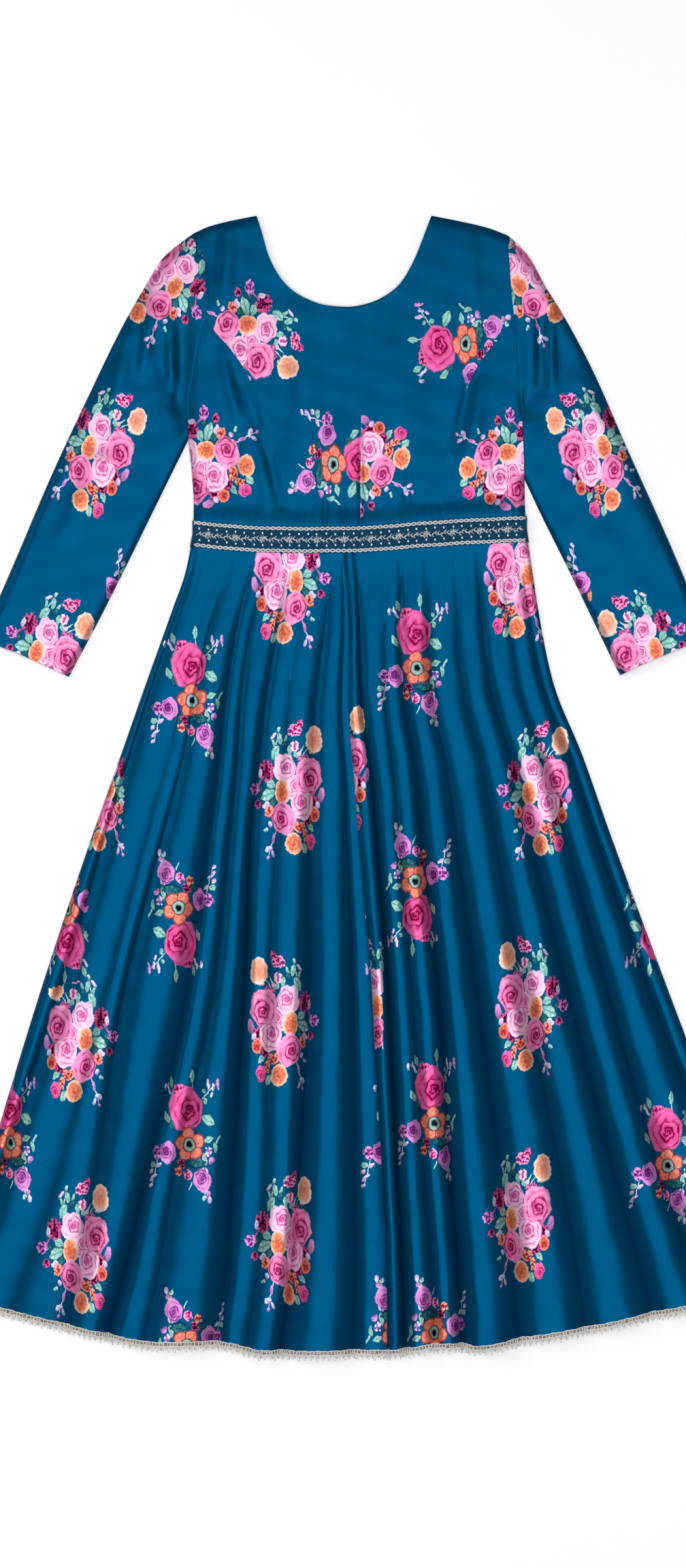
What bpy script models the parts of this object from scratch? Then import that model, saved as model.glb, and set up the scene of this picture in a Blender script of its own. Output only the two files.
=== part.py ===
"""An anarkali gown laid flat on a surface: a princess-seamed bodice with a scoop neck and long
sleeves, a flared skirt that falls into folds, an embroidered belt and a braid round the hem.

Each cut piece of cloth is one wall of even thickness. The back pieces lie flat on the surface and
the front pieces lie over them. X runs across the gown, Y from the hem up to the neck, Z upwards,
and the origin lies under the middle of the whole gown.

Tables hold millimetres, and fractions between 0 and 1; everything built from them is in metres.
"""

import bpy
import numpy as np

MM = 0.001

# Cloth and seams
CLOTH = 1.2 * MM  # thickness of a cloth wall
SEAM_GAP = 0.3 * MM  # between pieces that are sewn together, and between layers that touch
FRONT_REST = 2 * CLOTH + SEAM_GAP  # top of the front cloth where it lies on the back cloth

# How far the front stands above that, clear of the folds
PUFF_REACH = 14 * MM  # from the side edge, where it rises like a quarter ellipse
PUFF_BODICE = 3.5 * MM
PUFF_WAIST = 3.0 * MM
PUFF_SKIRT = 1.6 * MM
PUFF_EASE = 70 * MM  # length over which the puff changes above and below the waist
PUFF_CUFF = 7.0 * MM

# Belt
BELT_HEIGHT = 33 * MM
BELT_WALL = 1.8 * MM
BELT_EDGE_RISE = 0.8 * MM  # the corded rows along both edges stand proud of the band
BELT_EDGE_ROW = 5 * MM  # width of each corded row
BELT_LIFT = BELT_WALL + SEAM_GAP  # the back cloth steps over the band by this much
BELT_STEP = 24 * MM  # length of that step, up and down
BELT_CLEAR = 2.5 * MM  # level cloth past each edge of the band
BELT_REST = 1.5 * MM  # the band turns down over the sides of the cloth from this far in

# Hem braid
BRAID_WIDTH = 8 * MM
BRAID_WALL = 1.2 * MM

# Bodice: the two halves mirror each other below the armholes about this line
BODICE_AXIS = -2.5 * MM

# Outlines, as rows of (across X, up Y) in mm, from the top down
NECK_POINT_LEFT = (-131.8, 710.6)
NECK_POINT_RIGHT = (86.7, 710.6)
NECK = (
    NECK_POINT_LEFT, (-125.8, 692.0), (-115.6, 658.0), (-94.4, 624.0), (-69.7, 607.0), (-44.0, 598.5),
    (-17.0, 596.5), (3.0, 599.5), (23.0, 607.0), (46.0, 624.0), (64.0, 653.0), (78.2, 688.0),
    NECK_POINT_RIGHT,
)
SHOULDER_LEFT = (-210.0, 688.5)
SHOULDER_RIGHT = (181.9, 686.0)
SHOULDER_SEAM_LEFT = (SHOULDER_LEFT, (-190.0, 697.5), (-160.0, 705.0), NECK_POINT_LEFT)
SHOULDER_SEAM_RIGHT = (NECK_POINT_RIGHT, (125.0, 703.0), (158.0, 695.0), SHOULDER_RIGHT)
PRINCESS_TOP_LEFT = (-193.8, 583.0)
PRINCESS_TOP_RIGHT = (189.5, 586.5)
ARMHOLE_UPPER_LEFT = (SHOULDER_LEFT, (-203.0, 672.0), (-194.6, 647.0), (-191.3, 615.5), PRINCESS_TOP_LEFT)
ARMHOLE_UPPER_RIGHT = (SHOULDER_RIGHT, (182.8, 665.0), (184.5, 641.0), (186.2, 615.5), PRINCESS_TOP_RIGHT)
ARMPIT_LEFT = (-216.8, 432.0)
ARMPIT_RIGHT = (202.3, 383.5)
ARMHOLE_LOWER_LEFT = (PRINCESS_TOP_LEFT, (-201.0, 560.0), (-210.8, 513.5), (-216.4, 471.0), ARMPIT_LEFT)
ARMHOLE_LOWER_RIGHT = (PRINCESS_TOP_RIGHT, (192.0, 547.5), (195.5, 505.0), (199.8, 454.0), ARMPIT_RIGHT)
PRINCESS_LEFT = (
    PRINCESS_TOP_LEFT, (-187.0, 570.5), (-163.2, 543.0), (-144.5, 515.0), (-130.1, 480.5), (-119.0, 449.5),
    (-113.0, 431.0), (-107.1, 386.0), (-102.9, 307.0),
)
SIDE_LEFT = (ARMPIT_LEFT, (-211.7, 386.0), (-209.6, 350.0), (-210.0, 313.7))
SIDE_RIGHT = (ARMPIT_RIGHT, (202.6, 360.0), (203.2, 335.0), (204.0, 319.6))

SLEEVE_OUTER_LEFT = (
    SHOULDER_LEFT, (-228.5, 675.0), (-248.0, 658.0), (-269.5, 624.0), (-298.5, 573.0), (-340.0, 488.0),
    (-387.5, 386.0), (-431.0, 284.0), (-475.0, 182.5),
)
SLEEVE_INNER_LEFT = (ARMPIT_LEFT, (-239.7, 386.0), (-289.9, 284.0), (-324.0, 216.0), (-366.4, 136.0))
CUFF_LEFT = ((-475.0, 182.5), (-452.0, 173.5), (-430.0, 165.0), (-392.0, 148.0), (-366.4, 136.0))
SLEEVE_OUTER_RIGHT = (
    SHOULDER_RIGHT, (193.8, 675.0), (209.0, 658.0), (227.8, 624.0), (249.0, 590.0), (285.6, 522.0),
    (330.7, 420.0), (376.6, 318.0), (432.7, 185.5),
)
SLEEVE_INNER_RIGHT = (ARMPIT_RIGHT, (225.3, 335.0), (259.3, 267.0), (292.4, 199.0), (322.2, 137.7))
CUFF_RIGHT = ((432.7, 185.5), (404.6, 174.3), (382.5, 165.0), (342.6, 148.0), (322.2, 137.7))

# Middle line of the belt, where the bodice is sewn to the skirt: the band sags a little
WAIST = (
    (-210.0, 313.7), (-136.0, 307.3), (-70.0, 306.0), (-2.0, 306.9), (71.4, 312.4), (143.0, 317.0),
    (204.0, 319.6),
)

# Skirt sides: fraction of the way down, left edge X, right edge X
SKIRT_SIDES = (
    (0.00, -210.0, 204.0),
    (0.05, -219.6, 211.4),
    (0.10, -236.0, 218.4),
    (0.20, -269.6, 237.5),
    (0.30, -302.6, 275.0),
    (0.40, -336.0, 308.5),
    (0.60, -398.6, 378.5),
    (0.80, -456.0, 449.5),
    (0.90, -483.3, 483.5),
    (1.00, -516.8, 516.8),
)

# Hem of the cloth, left to right: it dips where folds push it down
HEM = (
    (-516.8, -625.6), (-452.0, -649.5), (-384.0, -667.0), (-315.0, -683.0), (-256.0, -692.5),
    (-193.0, -692.0), (-170.0, -693.0), (-124.0, -703.0), (-67.0, -703.5), (-10.0, -703.0),
    (31.0, -703.0), (65.0, -699.0), (88.0, -695.0), (122.0, -694.5), (141.0, -697.0),
    (162.0, -695.0), (195.0, -688.5), (290.0, -672.0), (383.0, -651.5), (450.0, -639.0),
    (516.8, -625.6),
)

# Folds of the skirt front, from left to right. A row is a line that runs from the waist to the hem,
# along a crest or along a trough. Its place is a fraction of the way across at five fractions of
# the way down, and its height in mm above the lying cloth is given at three of them.
FOLD_PLACES = (0.12, 0.30, 0.55, 0.80, 1.00)
FOLD_HEIGHTS = (0.04, 0.30, 0.55, 1.00)  # height is 0 at the first, so that the waist is smooth
FOLDS = (
    # name, place at 0.12, 0.30, 0.55, 0.80, 1.00, height at 0.30, 0.55, 1.00
    ("left edge", 0.000, 0.000, 0.000, 0.000, 0.000, 0.0, 0.0, 0.0),
    ("side strip", 0.006, 0.009, 0.013, 0.009, 0.007, 2.0, 4.0, 4.0),
    ("side trough", 0.013, 0.018, 0.027, 0.018, 0.014, 0.0, 0.0, 0.0),
    ("crest 1", 0.050, 0.068, 0.072, 0.054, 0.045, 3.0, 7.0, 9.0),
    ("trough 1", 0.080, 0.096, 0.098, 0.089, 0.077, 2.0, 5.0, 5.0),
    ("crest 2", 0.096, 0.113, 0.110, 0.112, 0.110, 2.5, 6.0, 8.0),
    ("trough 2", 0.110, 0.130, 0.125, 0.139, 0.143, 1.0, 2.0, 3.0),
    ("crest 3", 0.144, 0.168, 0.172, 0.172, 0.168, 4.0, 8.0, 11.0),
    ("trough 3", 0.178, 0.206, 0.223, 0.205, 0.193, 0.0, 0.0, 0.0),
    ("crest 4", 0.199, 0.229, 0.246, 0.225, 0.215, 5.0, 9.0, 12.0),
    ("trough 4", 0.220, 0.250, 0.268, 0.245, 0.238, 2.5, 5.5, 8.0),
    ("crest 5", 0.255, 0.272, 0.291, 0.283, 0.275, 5.0, 10.0, 14.0),
    ("trough 5", 0.294, 0.295, 0.319, 0.325, 0.325, 0.5, 0.0, 0.0),
    ("crest 6", 0.320, 0.323, 0.340, 0.347, 0.343, 4.0, 8.0, 12.0),
    ("trough 6", 0.346, 0.350, 0.360, 0.371, 0.362, 3.0, 6.0, 8.0),
    ("crest 7", 0.380, 0.380, 0.390, 0.394, 0.382, 4.5, 9.0, 12.0),
    ("trough 7", 0.420, 0.415, 0.425, 0.416, 0.402, 0.5, 0.0, 0.0),
    ("crest 8", 0.454, 0.458, 0.462, 0.456, 0.448, 5.0, 10.0, 15.0),
    ("trough 8", 0.486, 0.494, 0.499, 0.494, 0.490, 2.0, 2.0, 1.0),
    ("crest 9", 0.494, 0.501, 0.514, 0.513, 0.510, 2.5, 6.0, 8.0),
    ("centre seam", 0.503, 0.509, 0.531, 0.532, 0.530, 2.5, 5.0, 6.0),
    ("crest 10", 0.522, 0.529, 0.545, 0.542, 0.540, 5.0, 9.0, 11.0),
    ("trough 10", 0.543, 0.549, 0.558, 0.553, 0.551, 0.0, 0.0, 0.0),
    ("crest 11", 0.564, 0.574, 0.578, 0.572, 0.569, 5.0, 9.5, 13.0),
    ("trough 11", 0.582, 0.595, 0.598, 0.590, 0.588, 3.0, 5.5, 6.0),
    ("crest 12", 0.602, 0.617, 0.618, 0.606, 0.603, 4.5, 9.0, 13.0),
    ("trough 12", 0.624, 0.642, 0.641, 0.626, 0.621, 0.0, 0.0, 0.0),
    ("crest 13", 0.660, 0.672, 0.668, 0.656, 0.649, 5.5, 11.0, 16.0),
    ("trough 13", 0.702, 0.710, 0.705, 0.697, 0.690, 1.0, 1.0, 1.0),
    ("crest 14", 0.738, 0.746, 0.742, 0.736, 0.730, 4.0, 9.0, 13.0),
    ("trough 14", 0.778, 0.785, 0.780, 0.776, 0.770, 1.0, 2.0, 3.0),
    ("crest 15", 0.812, 0.818, 0.815, 0.811, 0.808, 4.0, 8.0, 12.0),
    ("trough 15", 0.846, 0.850, 0.848, 0.846, 0.850, 0.0, 0.0, 1.0),
    ("crest 16", 0.880, 0.884, 0.880, 0.877, 0.884, 4.0, 8.0, 12.0),
    ("trough 16", 0.918, 0.918, 0.911, 0.905, 0.914, 1.5, 1.0, 1.0),
    ("crest 17", 0.946, 0.945, 0.942, 0.941, 0.947, 3.5, 7.0, 9.0),
    ("trough 17", 0.974, 0.974, 0.973, 0.976, 0.979, 0.0, 0.0, 0.0),
    ("right strip", 0.987, 0.987, 0.987, 0.988, 0.990, 1.5, 3.0, 4.0),
    ("right edge", 1.000, 1.000, 1.000, 1.000, 1.000, 0.0, 0.0, 0.0),
)
SEAM_LINE = [row[0] for row in FOLDS].index("centre seam")
HEM_PLACE = 5  # column of a row that holds its place at the hem
NARROW_FOLD = 0.016  # a stretch between two lines narrower than this takes fewer facets
TROUGH_SHARPNESS = 0.75  # under 1, troughs are tighter than crests

# Creases of the bodice and sleeves: start X, Y, end X, Y, half width, rise, all in mm
CREASES = (
    (-262.0, 592.0, -276.0, 512.0, 8.0, 2.2),
    (-290.0, 560.0, -312.0, 470.0, 11.0, 2.0),
    (-236.0, 560.0, -234.0, 470.0, 9.0, 2.4),
    (-330.0, 400.0, -378.0, 300.0, 14.0, 1.6),
    (218.0, 590.0, 222.0, 500.0, 8.0, 2.2),
    (243.0, 580.0, 262.0, 492.0, 11.0, 2.0),
    (275.0, 500.0, 300.0, 440.0, 9.0, 1.8),
    (318.0, 390.0, 356.0, 300.0, 14.0, 1.6),
    (-196.0, 545.0, -172.0, 470.0, 12.0, 2.0),
    (-128.0, 440.0, -118.0, 350.0, 9.0, 1.6),
    (150.0, 470.0, 132.0, 390.0, 11.0, 1.8),
    (-80.0, 560.0, -60.0, 470.0, 24.0, 1.4),
    (40.0, 560.0, 52.0, 440.0, 24.0, 1.4),
)

# Facets: fractions along each seam or edge at which the grids have a line. Pieces that are sewn
# together share the fractions of their seam, so that their facets meet.
ARMHOLE_UPPER_STEPS = (0.0, 0.07, 0.24, 0.48, 0.74, 1.0)
ARMHOLE_LOWER_STEPS = (0.0, 0.27, 0.52, 0.74, 0.90, 1.0)
PRINCESS_STEPS_LEFT = (0.0, 0.13, 0.27, 0.40, 0.50, 0.58, 0.72, 0.82, 0.89, 0.945, 1.0)
PRINCESS_STEPS_RIGHT = (0.0, 0.17, 0.34, 0.49, 0.62, 0.70, 0.79, 0.86, 0.91, 0.955, 1.0)
SIDE_FRONT_ACROSS = 6
SIDE_FRONT_TIP = 0.08  # this part of the first facets is cut off where they meet in a point
SIDE_STEPS = (0.0, 0.30, 0.55, 0.70, 0.85, 1.0)
SHOULDER_STEPS = (0.0, 0.08, 0.30, 0.60, 0.90, 1.0)
NECK_STEPS = 14
SLEEVE_STEPS = (0.0, 0.05, 0.10, 0.16, 0.22, 0.29, 0.36, 0.43, 0.50, 0.58, 0.66, 0.74, 0.82, 0.91, 1.0)
SKIRT_STEPS = (0.0, 0.017, 0.029, 0.041, 0.08, 0.14, 0.21, 0.30, 0.40, 0.50, 0.62, 0.75, 0.88, 1.0)
SKIRT_BACK_ACROSS = 22
FOLD_FACETS = 3  # between a crest and the next trough
FOLD_FACETS_NARROW = 2
BELT_ACROSS = (
    0.0, 0.008, 0.02, 0.05, 0.12, 0.20, 0.29, 0.38, 0.47, 0.56, 0.65, 0.74, 0.83, 0.90, 0.95, 0.98,
    0.992, 1.0,
)
SLEEVE_EDGE_ROUND = 0.6 * MM  # the folded edges of the sleeves are this much rounded
SLEEVE_CORNER_TRIM = 1.2 * MM  # those edges start this far from the armhole seam

LOOKS = {
    # finish: base colour, roughness, metallic
    "satin": ((0.0, 0.09, 0.22, 1.0), 0.38, 0.0),
    "embroidery": ((0.16, 0.20, 0.24, 1.0), 0.45, 0.4),
    "braid": ((0.60, 0.57, 0.52, 1.0), 0.42, 0.5),
}


# ---------------------------------------------------------------- curves and tables


def smooth(stations, values, at):
    """Monotone cubic through a table's columns: it has no overshoot between two rows."""
    stations, values = np.asarray(stations, float), np.asarray(values, float)
    width = np.diff(stations)
    slope = np.diff(values) / width
    same_way = slope[:-1] * slope[1:] > 0
    before, after = np.where(same_way, slope[:-1], 1.0), np.where(same_way, slope[1:], 1.0)
    weight_before, weight_after = 2 * width[1:] + width[:-1], width[1:] + 2 * width[:-1]
    mean = (weight_before + weight_after) / (weight_before / before + weight_after / after)
    tangent = np.concatenate([slope[:1], np.where(same_way, mean, 0.0), slope[-1:]])
    at = np.clip(at, stations[0], stations[-1])
    i = np.clip(np.searchsorted(stations, at, side="right") - 1, 0, len(width) - 1)
    t = (at - stations[i]) / width[i]
    ends = values[i] * (1 + 2 * t) * (1 - t) ** 2 + values[i + 1] * t * t * (3 - 2 * t)
    return ends + width[i] * t * (1 - t) * (tangent[i] * (1 - t) - tangent[i + 1] * t)


def along(points):
    """Length from the start of a run of points to each of them."""
    return np.concatenate([[0.0], np.cumsum(np.linalg.norm(np.diff(points, axis=0), axis=1))])


def curve(rows, steps):
    """Points at the fractions steps of the length of a smooth curve through the rows of a table in mm."""
    rows = np.array(rows, float) * MM
    chord = along(rows)
    fine = np.linspace(0.0, chord[-1], 30 * len(rows))
    path = np.stack([smooth(chord, rows[:, i], fine) for i in range(2)], axis=1)
    length = along(path)
    return np.stack([np.interp(np.asarray(steps) * length[-1], length, path[:, i]) for i in range(2)], axis=1)


def join(*runs):
    """One run of points from several, each of which starts where the last one ends."""
    return np.concatenate([runs[0]] + [run[1:] for run in runs[1:]])


def eased(t):
    """0 to 1 with level ends."""
    t = np.clip(t, 0.0, 1.0)
    return t * t * (3 - 2 * t)


def to_segment(x, y, start, end):
    """Distance in plan to a straight segment, and the fraction along it of its nearest place."""
    dx, dy = end[0] - start[0], end[1] - start[1]
    place = np.clip(((x - start[0]) * dx + (y - start[1]) * dy) / (dx * dx + dy * dy), 0.0, 1.0)
    return np.hypot(x - start[0] - place * dx, y - start[1] - place * dy), place


def from_rows(rows, x):
    """Y of an edge that is a table of (X, Y) rows."""
    rows = np.array(rows) * MM
    return smooth(rows[:, 0], rows[:, 1], x)


def waist_y(x):
    return from_rows(WAIST, x)


def hem_y(x):
    return from_rows(HEM, x)


def skirt_plan(across, down):
    """Plan position of a place on the skirt, from its fractions across and down."""
    sides = np.array(SKIRT_SIDES) * (1.0, MM, MM)
    left = smooth(sides[:, 0], sides[:, 1], down)
    right = smooth(sides[:, 0], sides[:, 2], down)
    top = waist_y(sides[0, 1] + across * (sides[0, 2] - sides[0, 1]))
    end = hem_y(sides[-1, 1] + across * (sides[-1, 2] - sides[-1, 1]))
    return np.stack([left + across * (right - left), top + down * (end - top)], axis=-1)


# ---------------------------------------------------------------- heights


def side_edges():
    """Every edge where the front meets the back, as runs of points."""
    steps = np.linspace(0.0, 1.0, 14)
    tables = (
        SHOULDER_SEAM_LEFT, SHOULDER_SEAM_RIGHT, SLEEVE_OUTER_LEFT, SLEEVE_OUTER_RIGHT,
        SLEEVE_INNER_LEFT, SLEEVE_INNER_RIGHT, SIDE_LEFT, SIDE_RIGHT,
    )
    return [curve(rows, steps) for rows in tables] + [skirt_plan(side, steps) for side in (0.0, 1.0)]


def puff_shape(x, y):
    """0 at a side edge, and 1 from PUFF_REACH inwards: it rises like a quarter ellipse."""
    nearest = np.full(np.shape(x), PUFF_REACH)
    for run in side_edges():
        for start, end in zip(run[:-1], run[1:]):
            nearest = np.minimum(nearest, to_segment(x, y, start, end)[0])
    return np.sqrt(1.0 - (1.0 - nearest / PUFF_REACH) ** 2)


def belt_lift(x, y):
    """How far cloth rises to pass over the back of the belt."""
    past = np.abs(y - waist_y(x)) - BELT_HEIGHT / 2 - BELT_CLEAR
    return BELT_LIFT * eased(1.0 - past / BELT_STEP)


def crease_rise(x, y):
    """Sum of the creases: each is a soft ridge along a segment that fades towards both ends."""
    total = np.zeros(np.shape(x))
    for row in np.array(CREASES) * MM:
        away, place = to_segment(x, y, row[0:2], row[2:4])
        half_width, rise = row[4:6]
        total += rise * np.sin(np.pi * (0.15 + 0.7 * place)) * np.exp(-((away / half_width) ** 2))
    return total


def back_top(x, y):
    """Top of the cloth that lies on the surface."""
    return CLOTH + belt_lift(x, y)


def front_top(x, y):
    """Top of the front cloth of the bodice, and of the skirt before its folds."""
    up = (y - waist_y(x)) / PUFF_EASE
    puff = PUFF_WAIST + (PUFF_BODICE - PUFF_WAIST) * eased(up) + (PUFF_SKIRT - PUFF_WAIST) * eased(-up)
    return back_top(x, y) + SEAM_GAP + CLOTH + puff * puff_shape(x, y)


def fold_columns(first, last):
    """Columns from one line of FOLDS to another: which line is to the left, and how far past it."""
    left, past = [], []
    for i in range(first, last):
        narrow = FOLDS[i + 1][HEM_PLACE] - FOLDS[i][HEM_PLACE] < NARROW_FOLD
        facets = FOLD_FACETS_NARROW if narrow else FOLD_FACETS
        left += [i] * facets
        past += [k / facets for k in range(facets)]
    return np.array(left + [last - 1]), np.array(past + [1.0])


def folds(first, last, down):
    """Fractions across, and heights, of the columns between two lines of FOLDS, for each row down."""
    left, past = fold_columns(first, last)
    places = [smooth(FOLD_PLACES, row[1:6], down) for row in FOLDS]
    heights = [MM * smooth(FOLD_HEIGHTS, (0.0,) + row[6:9], down) for row in FOLDS]
    places, heights = np.stack(places, axis=1), np.stack(heights, axis=1)
    across = places[:, left] + past * (places[:, left + 1] - places[:, left])
    start, end = heights[:, left], heights[:, left + 1]
    from_low = np.where(start <= end, past, 1.0 - past)
    climb = np.sin(np.pi / 2 * from_low) ** (2 * TROUGH_SHARPNESS)
    return across, np.minimum(start, end) + np.abs(end - start) * climb


# ---------------------------------------------------------------- grids


def patch(left, right, top, bottom, across):
    """Coons patch in plan: left and right are runs downwards, top and bottom are runs across.

    across gives each column's fraction; each row's is the mean of both sides' lengths."""
    down = (along(left) / along(left)[-1] + along(right) / along(right)[-1])[:, None, None] / 2
    across = np.asarray(across)[None, :, None]
    sides = (1 - across) * left[:, None] + across * right[:, None]
    ends = (1 - down) * top[None] + down * bottom[None]
    upper = (1 - across) * top[0] + across * top[-1]
    lower = (1 - across) * bottom[0] + across * bottom[-1]
    return sides + ends - (1 - down) * upper - down * lower


def hang(left, right, top):
    """Grid in plan between two sides, from a top edge of any shape down to the waist seam.

    Each row keeps its columns' fractions between the sides. Its Y goes from the top edge to the
    waist at the same X, plus what brings both of its ends onto the sides."""
    across = (top[:, 0] - top[0, 0]) / (top[-1, 0] - top[0, 0])
    down = (along(left) / along(left)[-1] + along(right) / along(right)[-1])[:, None] / 2

    def level(x):
        return (1 - down) * np.interp(x, top[:, 0], top[:, 1]) + down * waist_y(x)

    x = left[:, :1] + across * (right[:, :1] - left[:, :1])
    at_left = left[:, 1:] - level(left[:, :1])
    at_right = right[:, 1:] - level(right[:, :1])
    return np.stack([x, level(x) + (1 - across) * at_left + across * at_right], axis=-1)


def trim_seams(plan, edges):
    """Takes half a seam gap off the named edges of a grid of plan points."""
    lines = {
        "left": ((slice(None), 0), (slice(None), 1)),
        "right": ((slice(None), -1), (slice(None), -2)),
        "top": ((0,), (1,)),
        "bottom": ((-1,), (-2,)),
    }
    for edge in edges:
        line, inner = lines[edge]
        step = plan[inner] - plan[line]
        plan[line] = plan[line] + SEAM_GAP / 2 * step / np.linalg.norm(step, axis=-1, keepdims=True)
    return plan


def lay(plan, height):
    """Grid of points from their places in plan and their heights."""
    return np.concatenate([plan, height[..., None]], axis=-1)


def clear_scene():
    for thing in list(bpy.data.objects):
        bpy.data.objects.remove(thing, do_unlink=True)


def finish(name, look):
    """A material of its own for a piece."""
    colour, roughness, metallic = LOOKS[look]
    made = bpy.data.materials.new(name)
    made.use_nodes = True
    shader = made.node_tree.nodes["Principled BSDF"]
    shader.inputs["Base Color"].default_value = colour
    shader.inputs["Roughness"].default_value = roughness
    shader.inputs["Metallic"].default_value = metallic
    return made


def faces_out(points, faces, ring):
    """Whether most faces of a grid look up or, on a ring, away from the middle of their row."""
    corners = points.reshape(-1, 3)[faces]
    normals = np.cross(corners[:, 2] - corners[:, 0], corners[:, 3] - corners[:, 1])
    if not ring:
        return normals[:, 2].sum() > 0
    middles = np.repeat(points.mean(axis=1)[:-1], points.shape[1], axis=0)
    return ((corners.mean(axis=1) - middles) * normals).sum() > 0


def wall(name, look, points, thickness, ring=False, share=None):
    """A wall of cloth as a sheet with Solidify, from a grid of the points of its outer surface.

    A ring's rows close round. With share the grid is the inner surface instead, the wall grows
    outwards, and share is the part of the thickness that it has at each point."""
    rows, columns = points.shape[:2]
    index = np.arange(rows * columns).reshape(rows, columns)
    after = np.roll(index, -1, axis=1)
    quads = np.stack([index[:-1], index[1:], after[1:], after[:-1]], axis=-1)
    faces = quads[:, : columns if ring else columns - 1].reshape(-1, 4)
    if not faces_out(points, faces, ring):
        faces = faces[:, ::-1]
    mesh = bpy.data.meshes.new(name)
    mesh.from_pydata(points.reshape(-1, 3).tolist(), [], faces.tolist())
    mesh.shade_smooth()
    mesh.materials.append(finish(name, look))
    thing = bpy.data.objects.new(name, mesh)
    GOWN.objects.link(thing)
    solidify = thing.modifiers.new("wall", "SOLIDIFY")
    solidify.thickness = thickness
    solidify.offset = -1.0 if share is None else 1.0
    solidify.use_even_offset = True
    if ring:
        solidify.solidify_mode = "NON_MANIFOLD"
        solidify.nonmanifold_thickness_mode = "CONSTRAINTS"
        solidify.nonmanifold_boundary_mode = "NONE"
    if share is not None:
        group = thing.vertex_groups.new(name="share")
        for i, part in enumerate(share.ravel()):
            group.add([i], float(part), "REPLACE")
        solidify.vertex_group = group.name
    return thing


# ---------------------------------------------------------------- pieces


def bodice_top():
    """The run over the left shoulder seam, round the neck and over the right shoulder seam."""
    neck_steps = np.linspace(0.0, 1.0, NECK_STEPS + 1)
    outwards = tuple(1.0 - step for step in reversed(SHOULDER_STEPS))
    return join(
        curve(SHOULDER_SEAM_LEFT, SHOULDER_STEPS),
        curve(NECK, neck_steps),
        curve(SHOULDER_SEAM_RIGHT, outwards),
    )


def princess_right():
    """The right princess seam: the left one mirrored, between its own armhole and the waist."""
    end = 2 * BODICE_AXIS / MM - PRINCESS_LEFT[-1][0]
    middle = tuple((2 * BODICE_AXIS / MM - x, y) for x, y in PRINCESS_LEFT[1:-1])
    return (PRINCESS_TOP_RIGHT,) + middle + ((end, float(waist_y(end * MM)) / MM),)


def bodice_height(plan):
    x, y = plan[..., 0], plan[..., 1]
    return front_top(x, y) + crease_rise(x, y)


def build_bodice_centre():
    left = join(curve(ARMHOLE_UPPER_LEFT, ARMHOLE_UPPER_STEPS), curve(PRINCESS_LEFT, PRINCESS_STEPS_LEFT))
    right = join(
        curve(ARMHOLE_UPPER_RIGHT, ARMHOLE_UPPER_STEPS), curve(princess_right(), PRINCESS_STEPS_RIGHT)
    )
    plan = trim_seams(hang(left, right, bodice_top()), ("left", "right", "bottom"))
    wall("bodice_front_centre", "satin", lay(plan, bodice_height(plan)), CLOTH)


def build_bodice_side(name, armhole, side, princess, princess_steps, outer_edge):
    """A side front: the lower armhole and the side seam make one edge, and the princess seam the other.

    They meet in a point, which is cut off just below."""
    outer = join(curve(armhole, ARMHOLE_LOWER_STEPS), curve(side, SIDE_STEPS))
    inner = curve(princess, princess_steps)
    for run in (outer, inner):
        run[0] += SIDE_FRONT_TIP * (run[1] - run[0])
    sides = (outer, inner) if outer_edge == "left" else (inner, outer)
    plan = hang(*sides, np.linspace(sides[0][0], sides[1][0], SIDE_FRONT_ACROSS + 1))
    inner_edge = "right" if outer_edge == "left" else "left"
    armhole_rows = len(ARMHOLE_LOWER_STEPS)
    plan[:armhole_rows] = trim_seams(plan[:armhole_rows].copy(), (outer_edge,))
    plan = trim_seams(plan, (inner_edge, "bottom"))
    wall(name, "satin", lay(plan, bodice_height(plan)), CLOTH)


def build_bodice_back():
    def whole_side(upper, lower, side):
        return join(
            curve(upper, ARMHOLE_UPPER_STEPS), curve(lower, ARMHOLE_LOWER_STEPS), curve(side, SIDE_STEPS)
        )

    left = whole_side(ARMHOLE_UPPER_LEFT, ARMHOLE_LOWER_LEFT, SIDE_LEFT)
    right = whole_side(ARMHOLE_UPPER_RIGHT, ARMHOLE_LOWER_RIGHT, SIDE_RIGHT)
    plan = hang(left, right, bodice_top())
    armhole_rows = len(ARMHOLE_UPPER_STEPS) + len(ARMHOLE_LOWER_STEPS) - 1
    plan[:armhole_rows] = trim_seams(plan[:armhole_rows].copy(), ("left", "right"))
    plan = trim_seams(plan, ("bottom",))
    wall("bodice_back", "satin", lay(plan, back_top(plan[..., 0], plan[..., 1])), CLOTH)


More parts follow.
